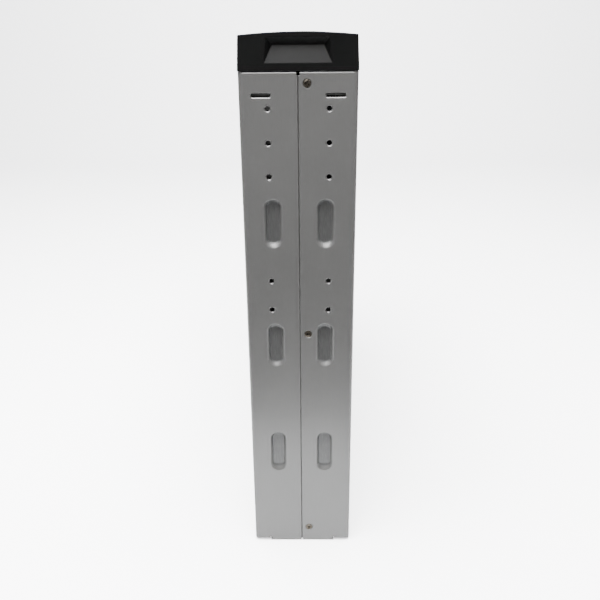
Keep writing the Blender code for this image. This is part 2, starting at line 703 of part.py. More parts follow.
# ---- battery drawer ----------------------------------------------------------------
def build_drawer_tray():
    """The steel tray: floor, low side walls, and a rear wall with two ears."""
    y, t = TRAY_HALF_Y, SHEET
    section = [(TRAY_WALL_TOP, -y), (TRAY_FLOOR, -y), (TRAY_FLOOR, y), (TRAY_WALL_TOP, y),
               (TRAY_WALL_TOP, y - t), (TRAY_FLOOR + t, y - t), (TRAY_FLOOR + t, t - y),
               (TRAY_WALL_TOP, t - y)]
    made = mesh_object("drawer_tray", along_z(section, DRAWER_REAR, DRAWER_FRONT), STEEL)
    wall = [box((TRAY_FLOOR + 0.0006, 0.0006 - y, DRAWER_REAR),
                (0.0220, y - 0.0006, DRAWER_REAR + t))]
    wall += [box((0.0200, sign * 0.0390 - 0.0050, DRAWER_REAR + 0.0001),
                 (0.0380, sign * 0.0390 + 0.0050, DRAWER_REAR + t - 0.0001)) for sign in (-1, 1)]
    join(made, *wall)
    slots = []
    for z in (0.1600, 0.3150):
        for y_slot in (-0.1500, -0.0500, 0.0500, 0.1500):
            slots.append(box((TRAY_FLOOR - 0.001, y_slot - 0.0250, z),
                             (TRAY_FLOOR + 0.003, y_slot + 0.0250, z + 0.0080)))
    cut(made, together(*slots))


def build_drawer_front():
    """The drawer's steel front plate, with two lugs for the bail handle."""
    low = DRAWER_FRONT + GAP
    x_pivot, z_pivot = HANDLE_PIVOT
    made = mesh_object("drawer_front", box((TRAY_FLOOR, -0.2095, low),
                                           (PLATE_TOP_X, 0.2095, low + PLATE)), STEEL)
    for sign in (-1, 1):
        wall = sorted((sign * 0.0620, sign * 0.0635))
        lug = box((x_pivot - 0.0050, wall[0], low + 0.0006), (x_pivot + 0.0050, wall[1], z_pivot + 0.0045))
        join(made, lug)
    holes = [rod((LOCK_X, sign * LOCK_Y, low), (0, 0, 1), 0.0026, 0.006) for sign in (-1, 1)]
    holes += [rod((0, sign * STUD_Y, low), (0, 0, 1), 0.0028, 0.006) for sign in (-1, 1)]
    holes += [rod((x_pivot, sign * 0.0628, z_pivot), (0, 1, 0), WIRE + GAP, 0.006) for sign in (-1, 1)]
    cut(made, together(*holes))


def build_battery_blocks():
    """Eight sealed blocks in four columns, terminals facing the two wiring aisles."""
    number = 0
    for side in (-1, 1):
        for start, facing in ((AISLE_OUTER, -1), (AISLE_INNER, 1)):
            for rear in BLOCK_ROWS:
                number += 1
                face = side * start
                back = side * (start + (BLOCK_Y if facing < 0 else -BLOCK_Y + GAP / 2))
                across = sorted((face, back))
                made = mesh_object(f"battery_block_{number}", box(
                    (BLOCK_FLOOR, across[0], rear), (BLOCK_TOP, across[1], rear + BLOCK_Z), 0.0012), CASE)
                towards = side * facing
                tip = sorted((face - towards * 0.0010, face + towards * TAB))
                join(made, together(*[box((TAB_X - 0.0005, tip[0], z - 0.0032),
                                          (TAB_X + 0.0005, tip[1], z + 0.0032))
                                      for z in (rear + TAB_FROM_END, rear + BLOCK_Z - TAB_FROM_END)]))


def build_links():
    """Bars that join each string's blocks in the aisles, and the fuse across each aisle."""
    rear_end = BLOCK_ROWS[0] + BLOCK_Z - TAB_FROM_END
    front_end = BLOCK_ROWS[1] + TAB_FROM_END
    far_end = BLOCK_ROWS[1] + BLOCK_Z - TAB_FROM_END
    outer_tip = AISLE_OUTER - TAB
    inner_tip = AISLE_INNER + TAB
    for name, side in SIDES:
        outer = sorted((side * (outer_tip - GAP), side * (outer_tip - GAP - 0.0015)))
        inner = sorted((side * (inner_tip + GAP), side * (inner_tip + GAP + 0.0015)))
        for where, span in (("outer", outer), ("inner", inner)):
            mesh_object(f"block_link_{name}_{where}", box(
                (TAB_X - 0.0045, span[0], rear_end - 0.0055),
                (TAB_X + 0.0045, span[1], front_end + 0.0055), 0.0003), COPPER)
        across = sorted((side * (outer_tip - GAP), side * (inner_tip + GAP)))
        mesh_object(f"string_fuse_{name}", box((TAB_X - 0.0070, across[0], far_end - 0.0100),
                                               (TAB_X + 0.0070, across[1], far_end + 0.0100), 0.0006), FUSE)


def build_strap():
    """The hold-down strap over the middle of all eight blocks, hooked over the tray."""
    middle = (BLOCK_ROWS[0] + BLOCK_Z + BLOCK_ROWS[1]) / 2
    inner = TRAY_HALF_Y + GAP
    outer = inner + SHEET
    low = BLOCK_TOP + GAP
    high = low + SHEET
    foot = -0.0050
    section = [(foot, -outer), (high, -outer), (high, outer), (foot, outer),
               (foot, inner), (low, inner), (low, -inner), (foot, -inner)]
    slab = along_z(section, middle - STRAP_WIDTH / 2, middle + STRAP_WIDTH / 2)
    mesh_object("hold_down_strap", slab, STEEL)


def build_drawer_connector():
    """The drawer's half of the plug-in connector, on the rear wall's ears."""
    made = mesh_object("drawer_connector", box((0.0286, -0.0310, 0.0850), (0.0404, 0.0310, 0.1120)), BLACK)
    join(made, box((0.0294, -0.0296, 0.0660), (0.0396, 0.0296, 0.0860)))
    join(made, box((0.0280, -0.0430, DRAWER_REAR + SHEET + GAP), (0.0408, 0.0430, 0.0920)))


def build_drawer_leads():
    """Leads from the ends of the two strings, up out of the aisles and over the blocks."""
    start = TAB_X - 0.0060
    z = BLOCK_ROWS[0] + TAB_FROM_END
    end = 0.1120 + GAP
    x = CONNECTOR_X
    for name, side in SIDES:
        outer = [(start, side * AISLE_MIDDLE, z - 0.0040), (0.0270, side * AISLE_MIDDLE, z - 0.0040),
                 (x, side * 0.0950, z - 0.0020), (x, side * 0.0620, z + 0.0040),
                 (x, side * 0.0330, z + 0.0130), (x, side * 0.0225, z + 0.0100), (x, side * 0.0220, end)]
        inner = [(start, side * AISLE_MIDDLE, z + 0.0060), (0.0270, side * AISLE_MIDDLE, z + 0.0060),
                 (x, side * 0.0950, z + 0.0080), (x, side * 0.0600, z + 0.0160),
                 (x, side * 0.0220, z + 0.0260), (x, side * 0.0085, z + 0.0170), (x, side * 0.0080, end)]
        tube(f"string_lead_{name}_negative", smooth_route(outer, 0.006), LEAD_RADIUS, DARK)
        tube(f"string_lead_{name}_positive", smooth_route(inner, 0.006), LEAD_RADIUS, RED)


def build_status_board():
    """The small board behind the bezel's window, with its lamps and the test switch."""
    low = STATUS_BOARD_Z
    made = mesh_object("status_board", box((-0.0220, WINDOW_Y - 0.0280, low),
                                           (0.0180, WINDOW_Y + 0.0280, low + 0.0016)), BOARD)
    foot = DRAWER_FRONT + GAP + PLATE + GAP
    parts = [rod((x, WINDOW_Y + y, (foot + low) / 2 + 0.0002), (0, 0, 1), 0.0025, low - foot + 0.0004, 10)
             for x in (-0.0185, 0.0145) for y in (-0.0245, 0.0245)]
    parts += [box((WINDOW_X - 0.0020, WINDOW_Y + y - 0.0020, low + 0.0010),
                  (WINDOW_X + 0.0020, WINDOW_Y + y + 0.0020, low + 0.0045))
              for y in (-0.0160, -0.0080, 0.0, 0.0080, 0.0160)]
    parts.append(box((BUTTON_X - 0.0030, BUTTON_Y - 0.0030, low + 0.0010),
                     (BUTTON_X + 0.0030, BUTTON_Y + 0.0030, low + SWITCH_HEIGHT)))
    join(made, together(*parts))


def build_bezel_studs():
    """Ball studs on the drawer's front plate that the bezel's sockets snap over."""
    plate_top = DRAWER_FRONT + GAP + PLATE
    neck, ball, tip = 0.4275, 0.0036, 0.4330
    centre = tip - ball
    bulb = [(ball * math.cos(a), centre + ball * math.sin(a))
            for a in (math.radians(d) for d in (90, 60, 30, 0, -30))]
    profile = [(0, bulb[0][1]), *bulb[1:], (0.0020, neck), (0.0025, neck - 0.0020),
               (0.0025, plate_top + 0.0032), (0.0050, plate_top + 0.0032),
               (0.0050, plate_top + GAP), (0.0025, plate_top + GAP),
               (0.0025, DRAWER_FRONT - 0.0020), (0, DRAWER_FRONT - 0.0020)]
    for name, side in SIDES:
        turned(f"bezel_stud_{name}", profile, SCREW_STEEL, (0, side * STUD_Y, 0), steps=12)


def build_drawer_screws():
    """The two captive thumbscrews that lock the drawer home."""
    top = DRAWER_FRONT + GAP + PLATE
    head = 0.0055
    rim = 0.0006
    profile = [(0, top + 0.0100), (head - rim, top + 0.0100), (head, top + 0.0094),
               (head, top + 0.0030), (head - rim, top + 0.0024), (0.0036, top + 0.0024),
               (0.0036, top + GAP), (0.0020, top + GAP), (0.0020, top - 0.0110),
               (0.0012, top - 0.0118), (0, top - 0.0118)]
    for name, side in SIDES:
        turned(f"drawer_screw_{name}", profile, SCREW_STEEL, (LOCK_X, side * LOCK_Y, 0))


def build_handle():
    """The wire bail that pulls the drawer, folded flat, and the grip on it."""
    x, z = HANDLE_PIVOT
    bend = 0.0060
    reach = x - HANDLE_REACH
    half = [(0.0665, x), *[(y, c) for c, y in arc((x - bend, HANDLE_HALF + bend), bend, 0, -90, 4)]]
    half += [(y, c) for c, y in arc((reach + bend, HANDLE_HALF - bend), bend, 90, 180, 4)]
    route = [Vector((c, y, z)) for y, c in half]
    route += [Vector((c, -y, z)) for y, c in reversed(half)]
    tube("drawer_handle", route, WIRE, SCREW_STEEL)
    grip = 0.0043
    shape = rod((reach, 0, z), (0, 1, 0), grip, 0.0760, 16)
    made = mesh_object("handle_grip", shape, BLACK)
    cut(made, rod((reach, 0, z), (0, 1, 0), WIRE + GAP, 0.0900, 12))


# ---- bezel -------------------------------------------------------------------------
def crown_height(x):
    """Height of the bowed front face above its two long edges."""
    face_half = BEZEL_HALF_X - BEZEL_DRAFT
    radius = (face_half ** 2 + CROWN ** 2) / (2 * CROWN)
    return math.sqrt(radius ** 2 - x ** 2) - (radius - CROWN)


def bezel_section(inset, low):
    """The bezel's cross-section in X and Z, shrunk by the inset, open side at low."""
    half = BEZEL_HALF_X - inset
    face_half = half - BEZEL_DRAFT
    steps = 12
    bow = []
    for i in range(steps + 1):
        x = face_half - 2 * face_half * i / steps
        bow.append((x, BEZEL_EDGE + crown_height(x) - inset))
    return [(-half, low), (half, low), *bow]


def grip_shape(side, grow):
    """The hipped finger recess in one end: a box whose inner face closes to a ridge."""
    face = BEZEL_HALF_Y + 0.0010
    slope = 1 + 0.0010 / GRIP_DEPTH
    shape = box((-1, -1, -1), (1, 1, 1))
    for vert in shape.verts:
        right = math.copysign(1, vert.co.x)
        high = vert.co.z > 0
        if vert.co.y > 0:
            x = GRIP_RIDGE_X + (((GRIP_HIGH_X if high else GRIP_LOW_X) - GRIP_RIDGE_X) * slope)
            z = GRIP_RIDGE + ((GRIP_HIGH if high else GRIP_LOW) - GRIP_RIDGE) * slope
            vert.co = (right * (x + grow), side * face, z + (grow if high else -grow))
        else:
            inner = BEZEL_HALF_Y - GRIP_DEPTH - grow
            vert.co = (right * (GRIP_RIDGE_X + grow / 2), side * inner, GRIP_RIDGE)
    bmesh.ops.remove_doubles(shape, verts=shape.verts, dist=1e-6)
    return shape


def build_bezel():
    """The bowed front bezel: a thin shell with louvres, finger recesses and stud sockets."""
    slab = along_y(bezel_section(0, BEZEL_REAR), -BEZEL_HALF_Y, BEZEL_HALF_Y)
    made = mesh_object("bezel_shell", slab, BLACK)
    inner_y = BEZEL_HALF_Y - BEZEL_WALL
    cut(made, along_y(bezel_section(BEZEL_WALL, BEZEL_REAR - 0.001), -inner_y, inner_y))
    clip = 0.0004
    for _, side in SIDES:
        skin = grip_shape(side, 0.0020)
        bmesh.ops.bisect_plane(skin, geom=skin.verts[:] + skin.edges[:] + skin.faces[:],
                               plane_co=(0, side * (BEZEL_HALF_Y - clip), 0), plane_no=(0, side, 0),
                               clear_outer=True)
        bmesh.ops.holes_fill(skin, edges=skin.edges)
        top = BEZEL_EDGE - 0.0005
        bmesh.ops.bisect_plane(skin, geom=skin.verts[:] + skin.edges[:] + skin.faces[:],
                               plane_co=(0, 0, top), plane_no=(0, 0, 1), clear_outer=True)
        bmesh.ops.holes_fill(skin, edges=skin.edges)
        join(made, skin)
    roof = BEZEL_EDGE + CROWN - BEZEL_WALL + 0.0006
    boss_low = LENGTH + 0.0065
    join(made, together(*[rod((0, side * STUD_Y, (boss_low + roof) / 2), (0, 0, 1), 0.0065,
                              roof - boss_low) for _, side in SIDES]))
    cut(made, together(*[rod((0, side * STUD_Y, boss_low - 0.0040), (0, 0, 1), 0.0042, 0.0280)
                         for _, side in SIDES]))
    cut(made, together(*[grip_shape(side, 0.0) for _, side in SIDES]))
    louvres = []
    for x in LOUVRE_ROWS:
        for y in LOUVRE_COLUMNS:
            slot = stadium(LOUVRE_RADIUS, LOUVRE_RADIUS, LOUVRE_LENGTH - 2 * LOUVRE_RADIUS, 0.012)
            turn = Matrix.Rotation(math.pi / 2, 4, "Z")
            bmesh.ops.transform(slot, matrix=Matrix.Translation((x, y, BEZEL_EDGE - 0.006)) @ turn,
                                verts=slot.verts)
            louvres.append(slot)
    cut(made, together(*louvres))
    wx, wy = WINDOW_SIZE
    openings = [box((WINDOW_X - wx / 2 - GAP, WINDOW_Y - wy / 2 - GAP, BEZEL_EDGE - 0.006),
                    (WINDOW_X + wx / 2 + GAP, WINDOW_Y + wy / 2 + GAP, BEZEL_EDGE + 0.006)),
                rod((BUTTON_X, BUTTON_Y, BEZEL_EDGE), (0, 0, 1), BUTTON_RADIUS + GAP, 0.012, 24)]
    cut(made, together(*openings))


def build_window_and_button():
    """The smoked window with its rear lip, and the sprung test button with its plunger."""
    wx, wy = WINDOW_SIZE
    face = BEZEL_EDGE + crown_height(WINDOW_X + wx / 2) - 0.0004
    roof = BEZEL_EDGE + crown_height(WINDOW_X + wx / 2 + 0.002) - BEZEL_WALL
    window = mesh_object("status_window", box((WINDOW_X - wx / 2, WINDOW_Y - wy / 2, roof - 0.0015),
                                              (WINDOW_X + wx / 2, WINDOW_Y + wy / 2, face), 0.0003), SMOKED)
    join(window, box((WINDOW_X - wx / 2 - 0.0020, WINDOW_Y - wy / 2 - 0.0020, roof - 0.0022),
                     (WINDOW_X + wx / 2 + 0.0020, WINDOW_Y + wy / 2 + 0.0020, roof - 0.0007)))
    top = BEZEL_EDGE + crown_height(BUTTON_X) - 0.0002
    under = BEZEL_EDGE + crown_height(BUTTON_X + BUTTON_RADIUS + 0.002) - BEZEL_WALL
    flange = under - 0.0008
    stem = STATUS_BOARD_Z + SWITCH_HEIGHT + 0.0018
    profile = [(0, top), (BUTTON_RADIUS - 0.0005, top), (BUTTON_RADIUS, top - 0.0005),
               (BUTTON_RADIUS, flange), (BUTTON_RADIUS + 0.0015, flange),
               (BUTTON_RADIUS + 0.0015, flange - 0.0010), (0.0020, flange - 0.0010),
               (0.0020, stem), (0, stem)]
    turned("test_button", profile, BLACK, (BUTTON_X, BUTTON_Y, 0), steps=24)


build_base_chassis()
build_top_cover()
build_cover_screws()
build_rear_panel()
build_bulkhead()
build_bay_connector()
build_breaker()
build_sockets()
build_signal_jack()
build_earth_point()
build_monitor_board()
build_bay_wiring()
build_runners()
build_lock_brackets()
build_drawer_tray()
build_drawer_front()
build_battery_blocks()
build_links()
build_strap()
build_drawer_connector()
build_drawer_leads()
build_status_board()
build_bezel_studs()
build_drawer_screws()
build_handle()
build_bezel()
build_window_and_button()
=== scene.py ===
"""The looks of a two-unit rack battery pack that stands on its rear end.

Metres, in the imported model's frame: +Z runs from the rear rim to the front bezel,
+X from the base sheet to the cover sheet, and the right side wall is at -Y.
"""

import json
import math

import bmesh
import bpy
from mathutils import Matrix, Vector


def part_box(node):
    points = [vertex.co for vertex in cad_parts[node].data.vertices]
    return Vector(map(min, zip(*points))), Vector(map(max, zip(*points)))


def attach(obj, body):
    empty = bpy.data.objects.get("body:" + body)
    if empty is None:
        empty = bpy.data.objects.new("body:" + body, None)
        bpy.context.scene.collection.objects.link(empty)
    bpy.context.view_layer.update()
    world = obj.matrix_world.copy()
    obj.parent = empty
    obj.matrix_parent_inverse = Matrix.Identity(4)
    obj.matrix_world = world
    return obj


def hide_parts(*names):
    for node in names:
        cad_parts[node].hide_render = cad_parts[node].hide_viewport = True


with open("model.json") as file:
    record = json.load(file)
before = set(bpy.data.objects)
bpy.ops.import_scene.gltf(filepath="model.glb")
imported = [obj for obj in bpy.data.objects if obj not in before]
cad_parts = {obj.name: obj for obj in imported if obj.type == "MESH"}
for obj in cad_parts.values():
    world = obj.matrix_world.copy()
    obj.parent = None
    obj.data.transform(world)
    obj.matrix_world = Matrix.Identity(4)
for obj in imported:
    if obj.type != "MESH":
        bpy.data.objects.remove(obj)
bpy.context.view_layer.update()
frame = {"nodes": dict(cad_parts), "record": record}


# ---- camera ------------------------------------------------------------------------
# A plain lens at the height of the pack's front end, looking down at its right side.
# It stands three quarters of a metre in front of the pack and is turned a little aside.
lens = bpy.data.cameras.new("camera")
lens.lens = 40.915
lens.sensor_width = 36.0
lens.clip_start = 0.01
camera = bpy.data.objects.new("camera", lens)
camera.matrix_world = (
    Matrix.Translation((0.00769, -0.72838, 0.4444))
    @ Matrix.Rotation(math.radians(0.873), 4, "Z")
    @ Matrix.Rotation(math.radians(90 - 21.54), 4, "X")
    @ Matrix.Rotation(math.radians(-0.531), 4, "Z")
)
bpy.context.scene.collection.objects.link(camera)
bpy.context.scene.camera = camera


# ---- zinc-coated sheet -------------------------------------------------------------
# The case, drawer and brackets are cold-rolled steel with a thin grey zinc coat. It has
# a satin rolled grain along the sheet, a faint cloudiness, and bright metal where edges
# have been cut or rubbed. The groups for grain and rubbed edges serve the other finishes.
def place(tree, kind, inputs=None, **settings):
    """Adds a node, sets its properties and unlinked inputs, and links the others."""
    node = tree.nodes.new(kind)
    for name, value in settings.items():
        setattr(node, name, value)
    for name, value in (inputs or {}).items():
        socket = node.inputs[name]
        if isinstance(value, bpy.types.NodeSocket):
            tree.links.new(value, socket)
        else:
            socket.default_value = value
    return node


def new_group(name, inputs, outputs):
    """An empty shader group with named sockets: {name: (kind, default)}, {name: kind}."""
    group = bpy.data.node_groups.new(name, "ShaderNodeTree")
    for label, (kind, default) in inputs.items():
        socket = group.interface.new_socket(label, in_out="INPUT", socket_type=kind)
        socket.default_value = default
    for label, kind in outputs.items():
        group.interface.new_socket(label, in_out="OUTPUT", socket_type=kind)
    return group, group.nodes.new("NodeGroupInput").outputs, group.nodes.new("NodeGroupOutput").inputs


FLOAT = "NodeSocketFloat"

grain_group, grain_in, grain_out = new_group(
    "grain", {"Across": (FLOAT, 900.0), "Along": (FLOAT, 60.0), "Cloud": (FLOAT, 14.0)},
    {"Fine": FLOAT, "Clouds": FLOAT})
where = place(grain_group, "ShaderNodeTexCoord").outputs["Object"]
stretch = place(grain_group, "ShaderNodeCombineXYZ", {
    "X": grain_in["Across"], "Y": grain_in["Across"], "Z": grain_in["Along"]})
stretched = place(grain_group, "ShaderNodeVectorMath", {0: where, 1: stretch.outputs[0]},
                  operation="MULTIPLY")
streaks = place(grain_group, "ShaderNodeTexNoise", {
    "Vector": stretched.outputs[0], "Scale": 1.0, "Detail": 3.0, "Roughness": 0.6})
clouds = place(grain_group, "ShaderNodeTexNoise", {
    "Vector": where, "Scale": grain_in["Cloud"], "Detail": 4.0, "Roughness": 0.55})
grain_group.links.new(streaks.outputs["Fac"], grain_out["Fine"])
grain_group.links.new(clouds.outputs["Fac"], grain_out["Clouds"])

rub_group, rub_in, rub_out = new_group(
    "rubbed_edges", {"Radius": (FLOAT, 0.0004), "Spread": (FLOAT, 160.0), "Amount": (FLOAT, 1.0)},
    {"Mask": FLOAT})
rounded = place(rub_group, "ShaderNodeBevel", {"Radius": rub_in["Radius"]}, samples=4)
flat = place(rub_group, "ShaderNodeNewGeometry").outputs["Normal"]
turned_away = place(rub_group, "ShaderNodeVectorMath", {0: rounded.outputs[0], 1: flat},
                    operation="DOT_PRODUCT")
edge = place(rub_group, "ShaderNodeMapRange", {
    "Value": turned_away.outputs["Value"], "From Min": 0.995, "From Max": 0.86})
patches = place(rub_group, "ShaderNodeTexNoise", {
    "Vector": place(rub_group, "ShaderNodeTexCoord").outputs["Object"],
    "Scale": rub_in["Spread"], "Detail": 3.0})
patchy = place(rub_group, "ShaderNodeMapRange", {
    "Value": patches.outputs["Fac"], "From Min": 0.38, "From Max": 0.6})
worn = place(rub_group, "ShaderNodeMath", {0: edge.outputs[0], 1: patchy.outputs[0]},
             operation="MULTIPLY")
amount = place(rub_group, "ShaderNodeMath", {0: worn.outputs[0], 1: rub_in["Amount"]},
               operation="MULTIPLY", use_clamp=True)
rub_group.links.new(amount.outputs[0], rub_out["Mask"])


def use(tree, group, **inputs):
    """Places a shared group in a material and sets its inputs."""
    node = place(tree, "ShaderNodeGroup", node_tree=group)
    for name, value in inputs.items():
        node.inputs[name].default_value = value
    return node.outputs


def blend(tree, factor, low, high):
    """A colour between two others, each a tint or another node's output, by a factor."""
    low, high = ((*tint, 1.0) if isinstance(tint, tuple) else tint for tint in (low, high))
    return place(tree, "ShaderNodeMix", {0: factor, 6: low, 7: high}, data_type="RGBA").outputs[2]


def spread(tree, value, low, high):
    """Maps a noise value, which is mostly between 0.3 and 0.7, onto a range."""
    return place(tree, "ShaderNodeMapRange", {
        "Value": value, "From Min": 0.3, "From Max": 0.7, "To Min": low, "To Max": high}).outputs[0]


def bump(tree, height, distance, under=None):
    """A Bump node of a given height in metres, over another one if given."""
    inputs = {"Height": height, "Distance": distance, "Strength": 1.0}
    if under:
        inputs["Normal"] = under
    return place(tree, "ShaderNodeBump", inputs).outputs[0]


def new_finish(name, metallic=0.0, **plain):
    """A Principled material, its tree and its shader. Plain values stay on the shader."""
    made = bpy.data.materials.new(name)
    made.use_nodes = True
    shader = made.node_tree.nodes["Principled BSDF"]
    shader.inputs["Metallic"].default_value = metallic
    for label, value in plain.items():
        shader.inputs[label.replace("_", " ")].default_value = value
    return made, made.node_tree, shader.inputs


def feed(tree, sockets, **sources):
    """Links values into the Principled shader's sockets."""
    for label, source in sources.items():
        tree.links.new(source, sockets[label.replace("_", " ")])


def math_of(tree, operation, *values):
    """A Math node's result."""
    return place(tree, "ShaderNodeMath", dict(enumerate(values)), operation=operation).outputs[0]


def pocket_shade_mask(tree):
    """A mask of painted shade in the pressed pockets: sheet that lies 2.6 to 5.5 mm inside a side wall's
    face, where a darker tone stands in for the shade inside the pockets.
    """
    where = place(tree, "ShaderNodeTexCoord").outputs["Object"]
    where = place(tree, "ShaderNodeSeparateXYZ", {0: where}).outputs
    inwards = math_of(tree, "ABSOLUTE", where["Y"])
    off_bends = math_of(tree, "COMPARE", where["X"], 0.0, 0.0400)
    by_wall = math_of(tree, "COMPARE", inwards, 0.2130, 0.0025)
    deep = place(tree, "ShaderNodeMapRange", {
        "Value": inwards, "From Min": 0.2147, "From Max": 0.2134},
        interpolation_type="SMOOTHSTEP").outputs[0]
    return math_of(tree, "MULTIPLY", math_of(tree, "MULTIPLY", off_bends, by_wall), deep)


zinc, tree, shader = new_finish("zinc_sheet", metallic=0.6)
grain = use(tree, grain_group, Across=2200.0, Along=140.0, Cloud=9.0)
rubbed = use(tree, rub_group, Radius=0.0005, Amount=0.7)["Mask"]
coat = blend(tree, spread(tree, grain["Clouds"], 0.0, 1.0), (0.372, 0.370, 0.366), (0.402, 0.400, 0.396))
coat = blend(tree, spread(tree, grain["Fine"], 0.0, 0.16), coat, (0.50, 0.498, 0.494))
# Painted shade: the pocket floors and walls get a darker, streaked tone in place of the shade that the pocket
# walls cast.
streaked_pocket_shade = blend(tree, spread(tree, grain["Fine"], 0.0, 1.0), (0.219, 0.220, 0.221), (0.303, 0.304, 0.305))
coat = blend(tree, pocket_shade_mask(tree), coat, streaked_pocket_shade)
feed(tree, shader, Base_Color=blend(tree, rubbed, coat, (0.64, 0.64, 0.64)),
     Roughness=spread(tree, grain["Clouds"], 0.30, 0.35),
     Normal=bump(tree, grain["Fine"], 0.000004, bump(tree, grain["Clouds"], 0.0002)))


# ---- base chassis and top cover ----------------------------------------------------
# Two folded sheets of 1.2 mm steel that meet halfway up each side wall. The base's wall
# steps inwards into a lap flange behind the cover's. Six oval pockets are pressed into
# each side, and ten holes for M4 screws are extruded inwards and tapped.
case_low, case_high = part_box("base_chassis")
HALF_X = -case_low.x
HALF_Y = case_high.y
LENGTH = case_high.z
SHEET = 0.0012
BEND = 0.0024
RIM_BEND = 0.0015
FLANGE_END = 0.0290
CORNER_CUT = 0.0028
REAR_FLANGE = 0.0100
FRONT_FLANGE = 0.0053
FRONT_CLEAR = 0.0403
SEAM_NOTCH = 0.0027
LAP_DEPTH = 0.0015
LAP_END = 0.0120

HOLE_X, HOLES = 0.0227, (0.0258, 0.0505, 0.0757, 0.1592, 0.1841)
POCKET_X, POCKETS = 0.0203, (0.1123, 0.2160, 0.3194)
SCREW_X, SCREWS = 0.0064, {"front": 0.0083, "middle": 0.2056, "rear": 0.4020}
SLOT_X, SLOT = 0.0273, 0.0163


def loop(shape, points):
    """A closed chain of edges through the points."""
    verts = [shape.verts.new(point) for point in points]
    return [shape.edges.new(pair) for pair in zip(verts, verts[1:] + verts[:1])]


def pull(shape, edges, move):
    """Extrudes a chain of edges and moves each new vertex. Returns the new chain."""
    grown = bmesh.ops.extrude_edge_only(shape, edges=edges)["geom"]
    fresh = {part for part in grown if isinstance(part, bmesh.types.BMVert)}
    for vert in fresh:
        vert.co = move(vert.co)
    return [part for part in grown
            if isinstance(part, bmesh.types.BMEdge) and all(v in fresh for v in part.verts)]


def oval(shape, frame_of, radius, straight=0.0, segments=24):
    """A ring with round ends along the local X axis, put in place by a matrix."""
    turn = Matrix.Rotation(math.pi / segments, 4, "Z")
    ring = bmesh.ops.create_circle(shape, segments=segments, radius=radius, matrix=turn)["verts"]
    edges = list({e for v in ring for e in v.link_edges})
    for vert in ring:
        vert.co.x += math.copysign(straight / 2, vert.co.x)
        vert.co = frame_of @ vert.co
    return edges


def sink(shape, edges, frame_of, steps, straight=0.0):
    """Carries a ring on through (radius, depth) steps along the local -Z axis."""
    back = frame_of.inverted()
    for radius, depth in steps:
        def move(point, radius=radius, depth=depth):
            local = back @ point
            middle = Vector((math.copysign(straight / 2, local.x), 0, 0))
            out = Vector((local.x, local.y, 0)) - middle
            return frame_of @ (middle + out.normalized() * radius - Vector((0, 0, depth)))
        edges = pull(shape, edges, move)
    return edges


def on_wall(x, z, side):
    """The frame of a feature on a side wall: local X runs along Z, local Z outwards."""
    turn = Matrix(((0, -side, 0), (0, 0, side), (1, 0, 0))).to_4x4()
    return Matrix.Translation((x, side * HALF_Y, z)) @ turn


def finish_mesh(shape, name, material, angle=32.0):
    """Writes a bmesh to a new object, smooth except at edges sharper than the angle."""
    mesh = bpy.data.meshes.new(name)
    shape.to_mesh(mesh)
    shape.free()
    mesh.shade_smooth()
    mesh.set_sharp_from_angle(angle=math.radians(angle))
    mesh.materials.append(material)
    made = bpy.data.objects.new(name, mesh)
    bpy.context.scene.collection.objects.link(made)
    return made


def thicken(piece, thickness):
    """Gives a one-sided mesh its wall, inwards from its faces."""
    wall = piece.modifiers.new("thickness", "SOLIDIFY")
    wall.thickness = thickness
    wall.offset = -1.0
    wall.use_even_offset = True


def soften(piece, width, segments=2, angle=55.0):
    """Rounds the edges sharper than the angle."""
    edge = piece.modifiers.new("rounded_edges", "BEVEL")
    edge.width = width
    edge.segments = segments
    edge.limit_method = "ANGLE"
    edge.angle_limit = math.radians(angle)
    edge.use_clamp_overlap = False
    edge.harden_normals = True
    edge.miter_outer = "MITER_ARC"


def level_faces(piece):
    """Keeps the shading of broad faces flat beside their rounded edges."""
    flat = piece.modifiers.new("level_faces", "WEIGHTED_NORMAL")
    flat.keep_sharp = True
    flat.weight = 90


body_of = {node: body for body, nodes in frame["record"]["behaviour"]["bodies"].items()
           for node in nodes}


def stand_for(piece, node):
    """The piece rides on a node's body and stands for it."""
    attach(piece, body_of[node])
    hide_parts(node)


def folded_sheet(shape, name, node):
    """A one-sided mesh becomes a piece of bent sheet in place of a node."""
    piece = finish_mesh(shape, name, zinc)
    thicken(piece, SHEET)
    soften(piece, 0.00018)
    level_faces(piece)
    stand_for(piece, node)


def bridge(shape, rings):
    """Joins each ring of edges to the next. Returns the first and the last."""
    for outer, inner in zip(rings, rings[1:]):
        bmesh.ops.bridge_loops(shape, edges=outer + inner)
    return rings[0], rings[-1]


def face_out(shape, point, outwards):
    """Turns every face the right way round, judged by the face nearest to a point."""
    bmesh.ops.recalc_face_normals(shape, faces=shape.faces)
    nearest = min(shape.faces, key=lambda f: (f.calc_center_median() - Vector(point)).length)
    if nearest.normal.dot(Vector(outwards)) < 0:
        bmesh.ops.reverse_faces(shape, faces=shape.faces)


def pocket(shape, x, z, side):
    """A pressed pocket with a rolled rim, steep sides and longer slopes at its two ends.

    Each ring has a half width, the radii of its front and rear ends, and its share of
    the depth. The floor leans, so that it is deeper towards the front.
    """
    straight, depth, lean, steps = 0.0252, 0.0033, 0.035, 40
    spot = on_wall(x, z, side)
    rings = []
    for half, front, rear, sunk in (
            (0.0076, 0.0076, 0.0076, 0.00), (0.0071, 0.0071, 0.0070, 0.03),
            (0.0066, 0.0066, 0.0062, 0.15), (0.0058, 0.0058, 0.0046, 0.52),
            (0.0052, 0.0050, 0.0032, 0.84), (0.0049, 0.0036, 0.0024, 0.96),
            (0.0047, 0.0024, 0.0016, 1.00)):
        points = []
        for step in range(steps):
            angle = 2 * math.pi * (step + 0.5) / steps
            along = math.cos(angle) * (front if math.cos(angle) > 0 else rear)
            along += math.copysign(straight / 2, along)
            points.append(spot @ Vector((along, math.sin(angle) * half, -sunk * (depth + lean * along))))
        rings.append(loop(shape, points))
    rim, floor = bridge(shape, rings)
    bmesh.ops.contextual_create(shape, geom=floor)
    return rim


